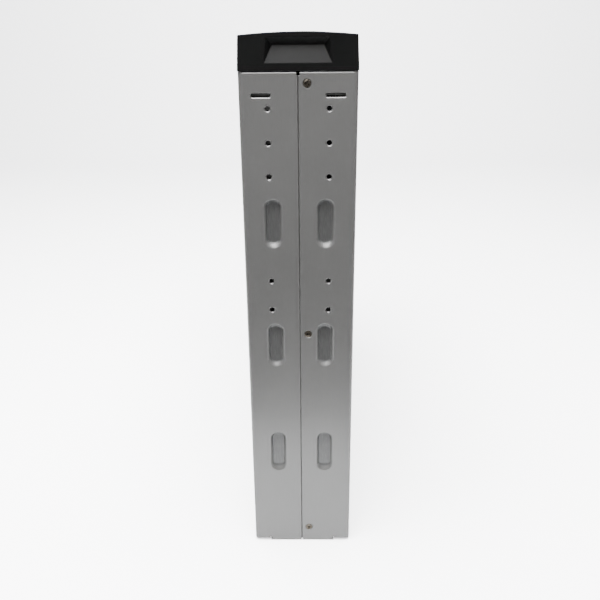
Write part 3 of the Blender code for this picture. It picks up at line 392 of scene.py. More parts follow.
def tapped_hole(shape, x, z, side):
    """An extruded hole with a rolled lip, and the rings of its thread."""
    spot = on_wall(x, z, side)
    outer = oval(shape, spot, 0.0034)
    lip = [(0.00285, 0.0), (0.00255, 0.00010), (0.00232, 0.00036), (0.00218, 0.00075)]
    thread = [(0.00205 if turn % 2 else 0.00184, 0.0010 + turn * 0.00022) for turn in range(8)]
    sink(shape, outer, spot, lip + thread)
    return outer


def countersink(shape, x, z, side):
    """A dimple for a countersunk head, with a rolled rim."""
    spot = on_wall(x, z, side)
    outer = oval(shape, spot, 0.0042)
    sink(shape, outer, spot, [(0.0037, 0.0), (0.00345, 0.00008), (0.0032, 0.0004), (0.0022, 0.0013)])
    return outer


def rounded_rectangle(shape, middle, size, corner, height, segments=5, spot=Matrix.Identity(4)):
    """A loop of edges round a rectangle with round corners, at one height."""
    points = []
    for quarter, (sx, sy) in enumerate(((1, 1), (-1, 1), (-1, -1), (1, -1))):
        centre = Vector((middle[0] + sx * (size[0] / 2 - corner),
                         middle[1] + sy * (size[1] / 2 - corner), height))
        for step in range(segments + 1):
            angle = math.radians(90 * quarter + 90 * step / segments)
            points.append(spot @ (centre + Vector((math.cos(angle), math.sin(angle), 0)) * corner))
    return loop(shape, points)


def lanced_slot(shape, x, z, side):
    """A slot with a rolled lip, broad on its rearward side and narrow on the other."""
    spot = on_wall(x, z, side)
    length, height, corner = 0.0138, 0.0030, 0.0006
    lip = [(-0.0005, 0.0024, 0.0008, 0.0), (-0.00032, 0.0016, 0.0005, -0.00012),
           (-0.00010, 0.0005, 0.00015, -0.00042), (0.0, 0.0, 0.0, -0.0008)]
    rings = [rounded_rectangle(shape, (shift, 0), (height + tall, length + wide), corner + wide / 2,
                               depth, 4, spot) for shift, wide, tall, depth in lip]
    return bridge(shape, rings)[0]


def side_wall(shape, facing, side, seam, notch):
    """One half of a side wall, with its features, end flanges and long bend."""
    front = LENGTH - RIM_BEND
    relief = [(FLANGE_END + 0.001 * math.cos(a), CORNER_CUT + 0.001 * math.sin(a))
              for a in (math.radians(270 - 270 * i / 9) for i in range(10))]
    bend_x = HALF_X - BEND
    outline = [(seam, RIM_BEND), (FLANGE_END, RIM_BEND), *relief, (bend_x, CORNER_CUT),
               (bend_x, LENGTH), (FRONT_CLEAR, LENGTH), (FRONT_CLEAR, front), (notch, front),
               (notch, LENGTH - SEAM_NOTCH), (seam, LENGTH - SEAM_NOTCH)]
    edges = loop(shape, [(facing * a, side * HALF_Y, z) for a, z in outline])
    rims = [pocket(shape, facing * POCKET_X, LENGTH - depth, side) for depth in POCKETS]
    rims += [tapped_hole(shape, facing * HOLE_X, LENGTH - depth, side) for depth in HOLES]
    rims.append(lanced_slot(shape, facing * SLOT_X, LENGTH - SLOT, side))
    if facing > 0:
        rims += [countersink(shape, SCREW_X, LENGTH - depth, side) for depth in SCREWS.values()]
    bmesh.ops.triangle_fill(shape, use_beauty=True, use_dissolve=False,
                            edges=edges + [e for rim in rims for e in rim], normal=(0, side, 0))
    rear_edge, seam_edge, front_edge, bend_edge = edges[0], edges[-1], edges[-4], edges[-7]
    rim_centre = side * (HALF_Y - RIM_BEND)
    fold(shape, bend_edge, (facing * bend_x, side * (HALF_Y - BEND), 0), "Z", -side * facing, 6)
    rear = fold(shape, rear_edge, (0, rim_centre, RIM_BEND), "X", -side, 5)
    pull(shape, rear, lambda p: p + Vector((0, -side * (REAR_FLANGE - RIM_BEND), 0)))
    front = fold(shape, front_edge, (0, rim_centre, front), "X", side, 5)
    pull(shape, front, lambda p: p + Vector((0, -side * (FRONT_FLANGE - RIM_BEND), 0)))
    return seam_edge


def fold(shape, edge, centre, axis, way, steps):
    """Sweeps an edge through a quarter turn and returns the edge it ends as."""
    spun = bmesh.ops.spin(shape, geom=[edge, *edge.verts], cent=centre,
                          axis=Vector([float(axis == name) for name in "XYZ"]),
                          angle=way * math.pi / 2, steps=steps)["geom_last"]
    return [part for part in spun if isinstance(part, bmesh.types.BMEdge)]


def broad_sheet(shape, facing):
    """The broad panel between the two long bends, and its rear flange."""
    tangent = HALF_Y - BEND
    flange_end = HALF_Y - SHEET - 0.0020
    outline = [(-tangent, LENGTH), (-tangent, CORNER_CUT), (-flange_end, CORNER_CUT),
               (-flange_end, RIM_BEND), (flange_end, RIM_BEND), (flange_end, CORNER_CUT),
               (tangent, CORNER_CUT), (tangent, LENGTH)]
    edges = loop(shape, [(facing * HALF_X, y, z) for y, z in outline])
    bmesh.ops.contextual_create(shape, geom=edges)
    rear = fold(shape, edges[3], (facing * (HALF_X - RIM_BEND), 0, RIM_BEND), "Y", facing, 5)
    pull(shape, rear, lambda p: p + Vector((-facing * (REAR_FLANGE - RIM_BEND), 0, 0)))


def lap_flange(shape, seam_edge, side):
    """The base's joggle and the flange that the cover's screws pull up against."""
    edges = [seam_edge]
    start = seam_edge.verts[0].co.x
    for share in (0.15, 0.38, 0.62, 0.85, 1.0):
        step = 0.5 - 0.5 * math.cos(math.pi * share)
        edges = pull(shape, edges, lambda p, share=share, step=step: Vector(
            (start * (1 - share), side * (HALF_Y - LAP_DEPTH * step), p.z)))
    pull(shape, edges, lambda p: Vector((LAP_END, p.y, p.z)))


for name, facing, seam, notch in (("base_chassis", -1, 0.0008, 0.0014), ("top_cover", 1, 0.0004, 0.0012)):
    sheet = bmesh.new()
    for side in (-1, 1):
        seam_edge = side_wall(sheet, facing, side, seam, notch)
        if facing < 0:
            lap_flange(sheet, seam_edge, side)
    broad_sheet(sheet, facing)
    bmesh.ops.remove_doubles(sheet, verts=sheet.verts, dist=0.00002)
    face_out(sheet, (facing * HALF_X, 0, LENGTH / 2), (facing, 0, 0))
    folded_sheet(sheet, name + "_sheet", name)


# ---- cover screws ------------------------------------------------------------------
# Six countersunk M3 screws of yellowish passivated steel, three down each side wall,
# with a cross recess that a driver has rubbed bright.
def clouded(name, grains, tones, gloss, relief, worn=None, gloss_from="Clouds", **plain):
    """A finish between two tones and two roughnesses, with a fine relief in metres.

    The grains are the grain group's three values. A worn finish gives the rubbed edges'
    radius, spread and amount, and the tint that shows there.
    """
    made, tree, shader = new_finish(name, **plain)
    grain = use(tree, grain_group, **dict(zip(("Across", "Along", "Cloud"), grains)))
    tone = blend(tree, spread(tree, grain["Clouds"], 0.0, 1.0), *tones)
    if worn:
        radius, patches, amount, tint = worn
        rubbed = use(tree, rub_group, Radius=radius, Spread=patches, Amount=amount)["Mask"]
        tone = blend(tree, rubbed, tone, tint)
    feed(tree, shader, Base_Color=tone, Roughness=spread(tree, grain[gloss_from], *gloss),
         Normal=bump(tree, grain["Fine"], relief))
    return made


passivated = clouded("passivated_screw", (2600.0, 2600.0, 700.0), ((0.16, 0.135, 0.105), (0.34, 0.31, 0.26)),
                     (0.24, 0.42), 0.00001, (0.00025, 1500.0, 1.0, (0.60, 0.56, 0.50)), metallic=1.0)


def cross(points_out, waist, segments=3):
    """Outline of a cross recess with rounded ends."""
    outline = []
    for quarter in range(4):
        turn = Matrix.Rotation(quarter * math.pi / 2, 4, "Z")
        for step in range(segments + 1):
            angle = math.radians(-90 + 180 * step / segments)
            tip = Vector((points_out + waist * math.cos(angle), waist * math.sin(angle), 0))
            outline.append(turn @ tip)
        outline.append(turn @ Vector((waist * 1.25, waist * 1.25, 0)))
    return outline


def countersunk_screw(spot):
    """A countersunk head with a cross recess, its rounded rim, and the shank."""
    screw = bmesh.new()
    rim = oval(screw, Matrix.Identity(4), 0.00262, 0.0, 32)
    recess = loop(screw, cross(0.00135, 0.00040))
    bmesh.ops.triangle_fill(screw, use_beauty=True, edges=rim + recess, normal=(0, 0, 1))
    floor = pull(screw, recess, lambda p: Vector((p.x * 0.93, p.y * 0.93, -0.0002)))
    floor = pull(screw, floor, lambda p: Vector((p.x * 0.55, p.y * 0.55, -0.0014)))
    bmesh.ops.contextual_create(screw, geom=floor)
    shank = sink(screw, rim, Matrix.Identity(4), [
        (0.00280, 0.00010), (0.00290, 0.00030), (0.00288, 0.00048), (0.0015, 0.0019), (0.0015, 0.0047),
        (0.0012, 0.0050)])
    bmesh.ops.contextual_create(screw, geom=shank)
    face_out(screw, (0.0024, 0, 0), (0, 0, 1))
    bmesh.ops.transform(screw, matrix=spot, verts=screw.verts)
    return screw


for side_name, side in (("right", -1), ("left", 1)):
    for row, (place_name, depth) in enumerate(SCREWS.items()):
        spot = on_wall(SCREW_X, LENGTH - depth, side) @ Matrix.Rotation(0.4 + 0.9 * row, 4, "Z")
        node = f"cover_screw_{side_name}_{place_name}"
        stand_for(finish_mesh(countersunk_screw(spot), node + "_m3", passivated), node)


# ---- rear panel --------------------------------------------------------------------
# A shallow pan of the same sheet, spot-welded inside the case 20 mm from its rear rim.
# Two fields of oval vents are punched through it, and openings for the rear fittings.
panel_low, panel_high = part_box("rear_panel")
PAN_DEPTH = 0.0100
VENT_ROWS = (-0.0200, 0.0200)
VENT_FIELDS = ((-0.2030, 13), (0.1450, 9))
VENT_PITCH = 0.0070
VENT_STRAIGHT = 0.0230
VENT_RADIUS = 0.0015


def middle_of(node):
    """The middle of a node's box."""
    low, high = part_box(node)
    return (low + high) / 2


def notched(half_x, half_y, cut):
    """Corners of a rectangle with square notches, ready for four flanges."""
    outline = []
    for sx, sy in ((1, 1), (-1, 1), (-1, -1), (1, -1)):
        corner = [(half_x, half_y - cut), (half_x - cut, half_y - cut), (half_x - cut, half_y)]
        outline += [(sx * x, sy * y) for x, y in (corner if sx == sy else reversed(corner))]
    return outline


def hole_through(shape, y, z, size):
    """A round-cornered opening for a fitting, with a little clearance."""
    return rounded_rectangle(shape, (0, y), (size[0] + 0.0006, size[1] + 0.0006), 0.0010, z, 3)


pan = bmesh.new()
half_x, half_y = panel_high.x - RIM_BEND, panel_high.y - RIM_BEND
edges = loop(pan, [(x, y, panel_low.z) for x, y in notched(half_x, half_y, 0.0008)])
holes = [hole_through(pan, middle_of(node).y, panel_low.z, size) for node, size in (
    ("breaker_body", (0.0440, 0.0190)), ("signal_jack", (0.0160, 0.0340)),
    ("power_socket_upper", (0.0360, 0.0240)), ("power_socket_lower", (0.0360, 0.0240)))]
facing_rear = Matrix.Rotation(math.pi, 4, "X")
earth_spot = Matrix.Translation((0, middle_of("earth_nut").y, panel_low.z)) @ facing_rear
holes.append(oval(pan, earth_spot, 0.0028))
for start, count in VENT_FIELDS:
    for i in range(count):
        for x in VENT_ROWS:
            spot = Matrix.Translation((x, start + i * VENT_PITCH, panel_low.z)) @ facing_rear
            rim = oval(pan, spot, VENT_RADIUS + 0.0005, VENT_STRAIGHT, 12)
            sink(pan, rim, spot, [(VENT_RADIUS + 0.0001, 0.00006), (VENT_RADIUS, 0.0003)], VENT_STRAIGHT)
            holes.append(rim)
bmesh.ops.triangle_fill(pan, use_beauty=True, edges=edges + [e for rim in holes for e in rim],
                        normal=(0, 0, -1))
rise = panel_low.z + RIM_BEND
for edge, centre, axis, way in (
        (edges[2], (0, half_y, rise), "X", 1), (edges[5], (-half_x, 0, rise), "Y", 1),
        (edges[8], (0, -half_y, rise), "X", -1), (edges[11], (half_x, 0, rise), "Y", -1)):
    lifted = fold(pan, edge, centre, axis, way, 5)
    pull(pan, lifted, lambda p: p + Vector((0, 0, PAN_DEPTH - RIM_BEND)))
bmesh.ops.remove_doubles(pan, verts=pan.verts, dist=0.00002)
face_out(pan, (0, -0.0580, panel_low.z), (0, 0, -1))
folded_sheet(pan, "rear_panel_pan", "rear_panel")


# ---- breaker -----------------------------------------------------------------------
# A hydraulic breaker in a black thermoset case, flush behind its flange, with a short
# tapered toggle. Its two studs carry the positive leads.
moulding = clouded("black_moulding", (1800.0, 1800.0, 40.0), ((0.012, 0.012, 0.013), (0.022, 0.022, 0.023)),
                   (0.28, 0.42), 0.00002, (0.0004, 240.0, 0.6, (0.06, 0.06, 0.06)), Specular_IOR_Level=0.5)
tinned = clouded("tinned_metal", (900.0, 180.0, 120.0), ((0.60, 0.56, 0.50), (0.74, 0.71, 0.66)),
                 (0.20, 0.36), 0.00001, (0.0003, 500.0, 0.7, (0.62, 0.42, 0.26)), metallic=1.0)


def stacked(x, y, levels, segments=3):
    """A closed moulding about (x, y) through rectangles with round corners.

    Each level has a size along X and Y, a corner radius, a height and, where it stands
    aside, a shift along X.
    """
    shape = bmesh.new()
    rings = [rounded_rectangle(shape, (x + sum(shift), y), (wide, deep), corner, z, segments)
             for wide, deep, corner, z, *shift in levels]
    for end in bridge(shape, rings):
        bmesh.ops.contextual_create(shape, geom=end)
    bmesh.ops.recalc_face_normals(shape, faces=shape.faces)
    return shape


def stow(whole, *parts):
    """Moves finished shapes into a larger one, each still a closed shell of its own."""
    for part in parts:
        carried = bpy.data.meshes.new("carried")
        part.to_mesh(carried)
        part.free()
        whole.from_mesh(carried)
        bpy.data.meshes.remove(carried)
    return whole


def slab(low, high, edge=0.0003, segments=2):
    """A block between two corners with rounded edges."""
    shape = bmesh.new()
    bmesh.ops.create_cube(shape, size=1.0)
    size = Vector(high) - Vector(low)
    bmesh.ops.scale(shape, vec=size, verts=shape.verts)
    bmesh.ops.translate(shape, vec=(Vector(high) + Vector(low)) / 2, verts=shape.verts)
    bmesh.ops.bevel(shape, geom=shape.edges[:], offset=min(edge, min(size) * 0.45), segments=segments,
                    profile=0.5, affect="EDGES", material=-1)
    return shape


def turned(profile, spot=Matrix.Identity(4), steps=32):
    """A turned shape: a row of (radius, height) points spun about the local Z axis."""
    shape = bmesh.new()
    verts = [shape.verts.new((radius, 0, height)) for radius, height in profile]
    row = [shape.edges.new(pair) for pair in zip(verts, verts[1:])]
    bmesh.ops.spin(shape, geom=verts + row, cent=(0, 0, 0), axis=(0, 0, 1),
                   angle=2 * math.pi, steps=steps, use_merge=True)
    bmesh.ops.remove_doubles(shape, verts=shape.verts, dist=1e-6)
    bmesh.ops.recalc_face_normals(shape, faces=shape.faces)
    bmesh.ops.transform(shape, matrix=spot, verts=shape.verts)
    return shape


def moulded(shape, name, material, node, edge=0.00025):
    """A moulding in place of a node, with its sharp edges eased."""
    piece = finish_mesh(shape, name, material, 40)
    soften(piece, edge, 2, 60)
    stand_for(piece, node)


def fitted(shape, name, material, node, angle=32.0):
    """A fitting of another finish that rides with a node and replaces nothing."""
    piece = finish_mesh(shape, name, material, angle)
    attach(piece, body_of[node])


def upright(x, y):
    """The frame of a turned piece whose axis stands at (x, y)."""
    return Matrix.Translation((x, y, 0))


def small_screws(name, node, reach, y, z):
    """Two countersunk screws, heads facing the rear, that hold a fitting by its flange."""
    heads = bmesh.new()
    for x in (-reach, reach):
        spot = Matrix.Translation((x, y, z)) @ facing_rear @ Matrix.Rotation(x * 90 + y * 40, 4, "Z")
        stow(heads, countersunk_screw(spot @ Matrix.Scale(0.72, 4)))
    fitted(heads, name, passivated, node)


SCREW_PROUD = 0.00015
y = middle_of("breaker_body").y
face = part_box("breaker_body")[0].z
body = stacked(0, y, [(0.0180, 0.0064, 0.0004, 0.0330), (0.0190, 0.0070, 0.0005, face + 0.0008),
                      (0.0206, 0.0086, 0.0010, face), (0.0506, 0.0246, 0.0016, face),
                      (0.0520, 0.0260, 0.0020, face + 0.0007), (0.0520, 0.0260, 0.0020, face + 0.0021),
                      (0.0438, 0.0188, 0.0008, face + 0.0022), (0.0438, 0.0188, 0.0008, 0.0550),
                      (0.0424, 0.0174, 0.0008, 0.0560)])
moulded(body, "breaker_case", moulding, "breaker_body")
studs = bmesh.new()
for x in (-0.0140, 0.0140):
    thread = [(0.0030 - 0.0002 * (i % 2), 0.0560 + 0.00042 * i) for i in range(12)]
    stow(studs, turned([(0, 0.0550), (0.0030, 0.0550), *thread, (0.0026, 0.0610), (0, 0.0610)],
                       upright(x, y), 24))
fitted(studs, "breaker_studs", tinned, "breaker_body")
small_screws("breaker_screws", "breaker_body", 0.0235, y, face - SCREW_PROUD)

toggle_joint = next(j for j in frame["record"]["behaviour"]["joints"] if j["name"] == "toggle_throw")
tilt = Matrix.Translation(toggle_joint["pos_m"]) @ Matrix.Rotation(math.radians(-22), 4, "Y")
lever = stacked(0, 0, [(0.0058, 0.0046, 0.0008, -0.0010), (0.0054, 0.0046, 0.0008, -0.0100),
                       (0.0040, 0.0044, 0.0008, -0.0172), (0.0036, 0.0038, 0.0010, -0.0186),
                       (0.0026, 0.0028, 0.0009, -0.0190)])
hub = turned([(0, -0.0029), (0.0034, -0.0029), (0.0038, -0.0025), (0.0038, 0.0025), (0.0034, 0.0029),
              (0, 0.0029)], Matrix.Rotation(math.pi / 2, 4, "X"), 28)
toggle_shape = stow(bmesh.new(), lever, hub)
for side in (-1, 1):
    for i in range(3):
        z = -0.0176 + i * 0.0013
        x = side * (0.0020 + i * 0.00012)
        stow(toggle_shape, slab((x - 0.0003, -0.0018, z), (x + 0.0003, 0.0018, z + 0.0005), 0.0002))
bmesh.ops.transform(toggle_shape, matrix=tilt, verts=toggle_shape.verts)
stand_for(finish_mesh(toggle_shape, "breaker_lever", moulding, 40), "breaker_toggle")


# ---- power sockets -----------------------------------------------------------------
# Two polarised sockets moulded in black PBT, one for the equipment and one for the next
# pack. Two tinned blades stand in each, and a flange takes its two fixing screws.
for node in ("power_socket_upper", "power_socket_lower"):
    low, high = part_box(node)
    y = (low.y + high.y) / 2
    face = low.z
    body = stacked(0, y, [(0.0290, 0.0160, 0.0014, 0.0400), (0.0300, 0.0170, 0.0018, face + 0.0012),
                          (0.0324, 0.0194, 0.0028, face), (0.0466, 0.0326, 0.0024, face),
                          (0.0480, 0.0340, 0.0030, face + 0.0007), (0.0480, 0.0340, 0.0030, face + 0.0021),
                          (0.0358, 0.0238, 0.0012, face + 0.0022), (0.0358, 0.0238, 0.0012, 0.0512),
                          (0.0344, 0.0224, 0.0012, 0.0520)], 4)
    for x in (-0.0080, 0.0080):
        stow(body, stacked(x, y, [(0.0096, 0.0052, 0.0010, 0.0401), (0.0096, 0.0052, 0.0010, 0.0256),
                                  (0.0086, 0.0042, 0.0008, 0.0250)]))
    stow(body, slab((-0.0012, y - 0.0084, 0.0230), (0.0012, y - 0.0066, 0.0400)))
    moulded(body, node + "_case", moulding, node)
    blades = bmesh.new()
    for x in (-0.0080, 0.0080):
        stow(blades, slab((x - 0.0035, y - 0.0010, 0.0240), (x + 0.0035, y + 0.0010, 0.0262), 0.0006),
             turned([(0, 0.0518), (0.0034, 0.0518), (0.0034, 0.0532), (0.0025, 0.0533), (0.0025, 0.0595),
                     (0.0021, 0.0600), (0, 0.0600)], upright(x, y), 24))
    fitted(blades, node + "_blades", tinned, node)
    small_screws(node + "_screws", node, 0.0208, y, face - SCREW_PROUD)


# ---- signal jack -------------------------------------------------------------------
# Two eight-way jacks in one black moulding, flush with the rear panel behind a flange.
# Eight tinned contact wires stand in each mouth.
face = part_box("signal_jack")[0].z
jack = bmesh.new()
wires = bmesh.new()
for way in (-1, 1):
    y = middle_of("signal_jack").y + way * 0.0082
    stow(jack, stacked(0, y, [(0.0084, 0.0116, 0.0003, 0.0320), (0.0090, 0.0122, 0.0004, face + 0.0004),
                              (0.0098, 0.0130, 0.0006, face), (0.0152, 0.0154, 0.0006, face),
                              (0.0160, 0.0162, 0.0008, face + 0.0005), (0.0160, 0.0162, 0.0008, 0.0354),
                              (0.0150, 0.0152, 0.0006, 0.0360)]))
    stow(jack, slab((-0.0045, y - 0.0020, face + 0.0004), (-0.0033, y + 0.0020, 0.0240)))
    for i in range(8):
        at = y + (i - 3.5) * 0.00102
        stow(wires, slab((0.0022, at - 0.00022, face + 0.0024), (0.0026, at + 0.00022, 0.0300), 0.0001, 1))
moulded(jack, "signal_jack_pair", moulding, "signal_jack", 0.0002)
fitted(wires, "signal_jack_wires", tinned, "signal_jack")


# ---- earth point -------------------------------------------------------------------
# An M5 stud of passivated steel goes out through the rear panel, its hexagon head
# inside. A washer and a nut outside hold the eye of an earth lead.
def hexagon(radius, low, high, spot, bore=0.0):
    """A hexagon with chamfered corners, with a round bore if one is given."""
    blank = [(bore, low), (radius * 0.93, low), (radius, low + radius * 0.09),
             (radius, high - radius * 0.09), (radius * 0.93, high), (bore, high)]
    shape = turned(blank + blank[:1] if bore else [(0, low), *blank[1:-1], (0, high)], steps=48)
    flat = radius * math.cos(math.pi / 6)
    for vert in shape.verts:
        across = Vector((vert.co.x, vert.co.y))
        if across.length > bore + 1e-5:
            angle = math.atan2(across.y, across.x) % (math.pi / 3) - math.pi / 6
            limit = flat / math.cos(angle)
            across *= min(1.0, limit / across.length)
            vert.co.x, vert.co.y = across
    bmesh.ops.transform(shape, matrix=spot, verts=shape.verts)
    return shape


y = middle_of("earth_nut").y
at_earth = upright(0, y)
thread = [(0.0025 if i % 2 else 0.00218, 0.0092 + 0.0004 * i) for i in range(30)]
stud = turned([(0, 0.0090), (0.0019, 0.0090), *thread, (0.0025, 0.0212), (0.0025, 0.0310), (0, 0.0310)],
              at_earth, 32)
stow(stud, hexagon(0.0048, 0.0216, 0.0255, at_earth))
stand_for(finish_mesh(stud, "earth_bolt", passivated, 35), "earth_stud")
nut = hexagon(0.0048, 0.0155, 0.0193, at_earth, 0.0026)
stow(nut, turned([(0.0027, 0.0194), (0.0056, 0.0194), (0.0056, 0.0199), (0.0027, 0.0199), (0.0027, 0.0194)],
                 at_earth, 36))
stand_for(finish_mesh(nut, "earth_nut_and_washer", passivated, 35), "earth_nut")


# ---- bay fittings ------------------------------------------------------------------
# Plain pressed and cut pieces keep their shape from the model, with their doubled points
# merged, flat triangles dissolved and every edge eased as a press or a file leaves it.
def eased(node, material, edge=0.0002, segments=2):
    """A copy of a node's own shape with rounded edges."""
    shape = bmesh.new()
    shape.from_mesh(frame["nodes"][node].data)
    bmesh.ops.remove_doubles(shape, verts=shape.verts, dist=1e-5)
    bmesh.ops.dissolve_limit(shape, angle_limit=math.radians(1), verts=shape.verts, edges=shape.edges)
    piece = finish_mesh(shape, node + "_eased", material, 35)
    soften(piece, edge, segments, 38)
    level_faces(piece)
    return stand_for(piece, node)


def smooth_lead(node, material):
    """A copy of a lead's own tube, made of quads again and rounded by subdivision."""
    shape = bmesh.new()
    shape.from_mesh(frame["nodes"][node].data)
    bmesh.ops.remove_doubles(shape, verts=shape.verts, dist=1e-5)
    caps = [e for e in shape.edges if len(e.link_faces) == 2 and e.calc_face_angle() < 0.001]
    bmesh.ops.dissolve_edges(shape, edges=caps)
    piece = finish_mesh(shape, node + "_lead", material, 60)
    rounder = piece.modifiers.new("round", "SUBSURF")
    rounder.levels = 2
    rounder.render_levels = 2
    return stand_for(piece, node)


def insulation(name, dark, light):
    """Soft PVC over stranded wire, with a faint bloom."""
    return clouded(name, (1200.0, 1200.0, 90.0), (dark, light), (0.34, 0.48), 0.00003,
                   Specular_IOR_Level=0.45)


red_pvc = insulation("red_pvc", (0.42, 0.012, 0.010), (0.52, 0.022, 0.018))
black_pvc = insulation("black_pvc", (0.012, 0.012, 0.012), (0.024, 0.024, 0.025))
nylon = clouded("grey_nylon", (1500.0, 1500.0, 30.0), ((0.26, 0.255, 0.235), (0.32, 0.315, 0.295)),
                (0.34, 0.48), 0.00003, gloss_from="Fine", Subsurface_Weight=0.25, Subsurface_Scale=0.002)
bright_copper = clouded("bright_copper", (260.0, 2200.0, 60.0), ((0.78, 0.42, 0.26), (0.90, 0.56, 0.40)),
                        (0.22, 0.38), 0.000008, gloss_from="Fine", metallic=1.0)

for node in ("bulkhead", "lock_bracket_right", "lock_bracket_left"):
    eased(node, zinc)
for node in ("drawer_runner_right", "drawer_runner_left"):
    eased(node, nylon, 0.0003)
for node in ("bus_bar_negative", "bus_bar_positive"):
    eased(node, bright_copper, 0.0002)
for node, material in (("bay_lead_positive", red_pvc), ("bay_lead_switched", red_pvc),
                       ("bay_lead_negative", black_pvc)):
    smooth_lead(node, material)
bar_nuts = bmesh.new()
for node in ("power_socket_upper", "power_socket_lower"):
    for x in (-0.0080, 0.0080):
        at = upright(x, middle_of(node).y)
        stow(bar_nuts, hexagon(0.0032, 0.0626, 0.0644, at))
fitted(bar_nuts, "bus_bar_nuts", tinned, "bus_bar_negative", 35)


# ---- monitoring and status boards --------------------------------------------------
# Glass-epoxy boards under green lacquer. The broad one watches the pack and the small
# one, behind the window, carries five lamps and the test button's switch.
lacquer, tree, shader = new_finish("green_lacquer", Coat_Weight=0.5, Coat_Roughness=0.12)
where = place(tree, "ShaderNodeTexCoord").outputs["Object"]
tracks = place(tree, "ShaderNodeTexBrick", {
    "Vector": where, "Scale": 190.0, "Mortar Size": 0.10, "Color1": (0, 0, 0, 1),
    "Color2": (0.25, 0.25, 0.25, 1), "Mortar": (1, 1, 1, 1)})
grain = use(tree, grain_group, Across=1500.0, Along=1500.0, Cloud=60.0)
lac = blend(tree, spread(tree, grain["Clouds"], 0.0, 1.0), (0.006, 0.075, 0.028), (0.010, 0.105, 0.040))
feed(tree, shader, Base_Color=blend(tree, tracks.outputs["Color"], lac, (0.030, 0.20, 0.075)),
     Roughness=spread(tree, grain["Clouds"], 0.28, 0.40), Normal=bump(tree, tracks.outputs["Fac"], 0.00003))

chip_black, tree, shader = new_finish("chip_epoxy")
grain = use(tree, grain_group, Across=3000.0, Along=3000.0, Cloud=300.0)
feed(tree, shader, Base_Color=blend(tree, grain["Clouds"], (0.010, 0.010, 0.011), (0.030, 0.030, 0.032)),
     Roughness=spread(tree, grain["Clouds"], 0.5, 0.7), Normal=bump(tree, grain["Fine"], 0.00002))

lamp_lens, tree, shader = new_finish("lamp_lens", Transmission_Weight=0.6, IOR=1.5)
grain = use(tree, grain_group, Across=900.0, Along=900.0, Cloud=200.0)
feed(tree, shader, Roughness=spread(tree, grain["Clouds"], 0.15, 0.3),
     Base_Color=blend(tree, grain["Clouds"], (0.35, 0.75, 0.30), (0.55, 0.90, 0.45)))


def chip(at, size, legs, up):
    """A surface-mounted chip in the local XY plane: its body, and its rows of bent legs."""
    body = stacked(0, 0, [(size[0], size[1], 0.0002, 0.0002),
                          (size[0] + 0.0002, size[1] + 0.0002, 0.0002, size[2] / 2),
                          (size[0] - 0.0002, size[1] - 0.0002, 0.0002, size[2])], 1)
    feet = bmesh.new()
    for i in range(legs):
        along = (i - (legs - 1) / 2) * size[0] / legs
        for way in (-1, 1):
            stow(feet, slab((along - 0.0002, way * size[1] / 2 - 0.0002, 0.0004),
                            (along + 0.0002, way * size[1] / 2 + 0.0006, 0.0006), 0.00008, 1),
                 slab((along - 0.0002, way * (size[1] / 2 + 0.0006) - 0.0001, 0.0),
                      (along + 0.0002, way * (size[1] / 2 + 0.0006) + 0.0001, 0.0006), 0.00008, 1))
    spot = Matrix.Translation(at) @ up
    for shape in (body, feet):
        bmesh.ops.transform(shape, matrix=spot, verts=shape.verts)
    return body, feet


up_x = Matrix.Rotation(math.pi / 2, 4, "Y")
low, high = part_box("monitor_board")
BOARD = 0.0016
POST = 0.0025
top = -0.0083
post_length = top - BOARD - low.x
board = slab((top - BOARD, low.y, low.z), (top, high.y, high.z), 0.0002)
posts = [turned([(0, 0), (POST, 0), (POST, post_length), (0, post_length)],
                Matrix.Translation((low.x, y, z)) @ up_x, 6)
         for y in (-0.0600, 0.0010) for z in (0.0340, 0.0560)]
stand_for(finish_mesh(stow(board, *posts), "monitor_board_lacquered", lacquer, 40), "monitor_board")
blacks, metals = bmesh.new(), bmesh.new()
for y, z, size, legs in ((-0.0250, 0.0480, (0.0090, 0.0090, 0.0014), 9),
                         (-0.0490, 0.0330, (0.0060, 0.0040, 0.0012), 5),
                         (-0.0360, 0.0310, (0.0060, 0.0040, 0.0012), 5)):
    body, feet = chip((top, y, z), size, legs, up_x)
    stow(blacks, body)
    stow(metals, feet)
for y, z, radius, tall in ((-0.0540, 0.0460, 0.0030, 0.0060), (-0.0450, 0.0460, 0.0030, 0.0060),
                           (-0.0080, 0.0340, 0.0025, 0.0055), (-0.0150, 0.0340, 0.0025, 0.0055)):
    can = [(0, 0.0001), (radius, 0.0001), (radius, 0.0008), (radius * 0.92, 0.0011), (radius, 0.0014),
           (radius, tall - 0.0004), (radius * 0.9, tall), (0, tall)]
    stow(metals, turned(can, Matrix.Translation((top, y, z)) @ up_x, 24))
stow(blacks, slab((top + 0.0001, -0.0100, 0.0420), (top + 0.0090, 0.0020, 0.0550), 0.0004))
fitted(blacks, "monitor_chips", chip_black, "monitor_board", 40)
fitted(metals, "monitor_cans", tinned, "monitor_board", 40)

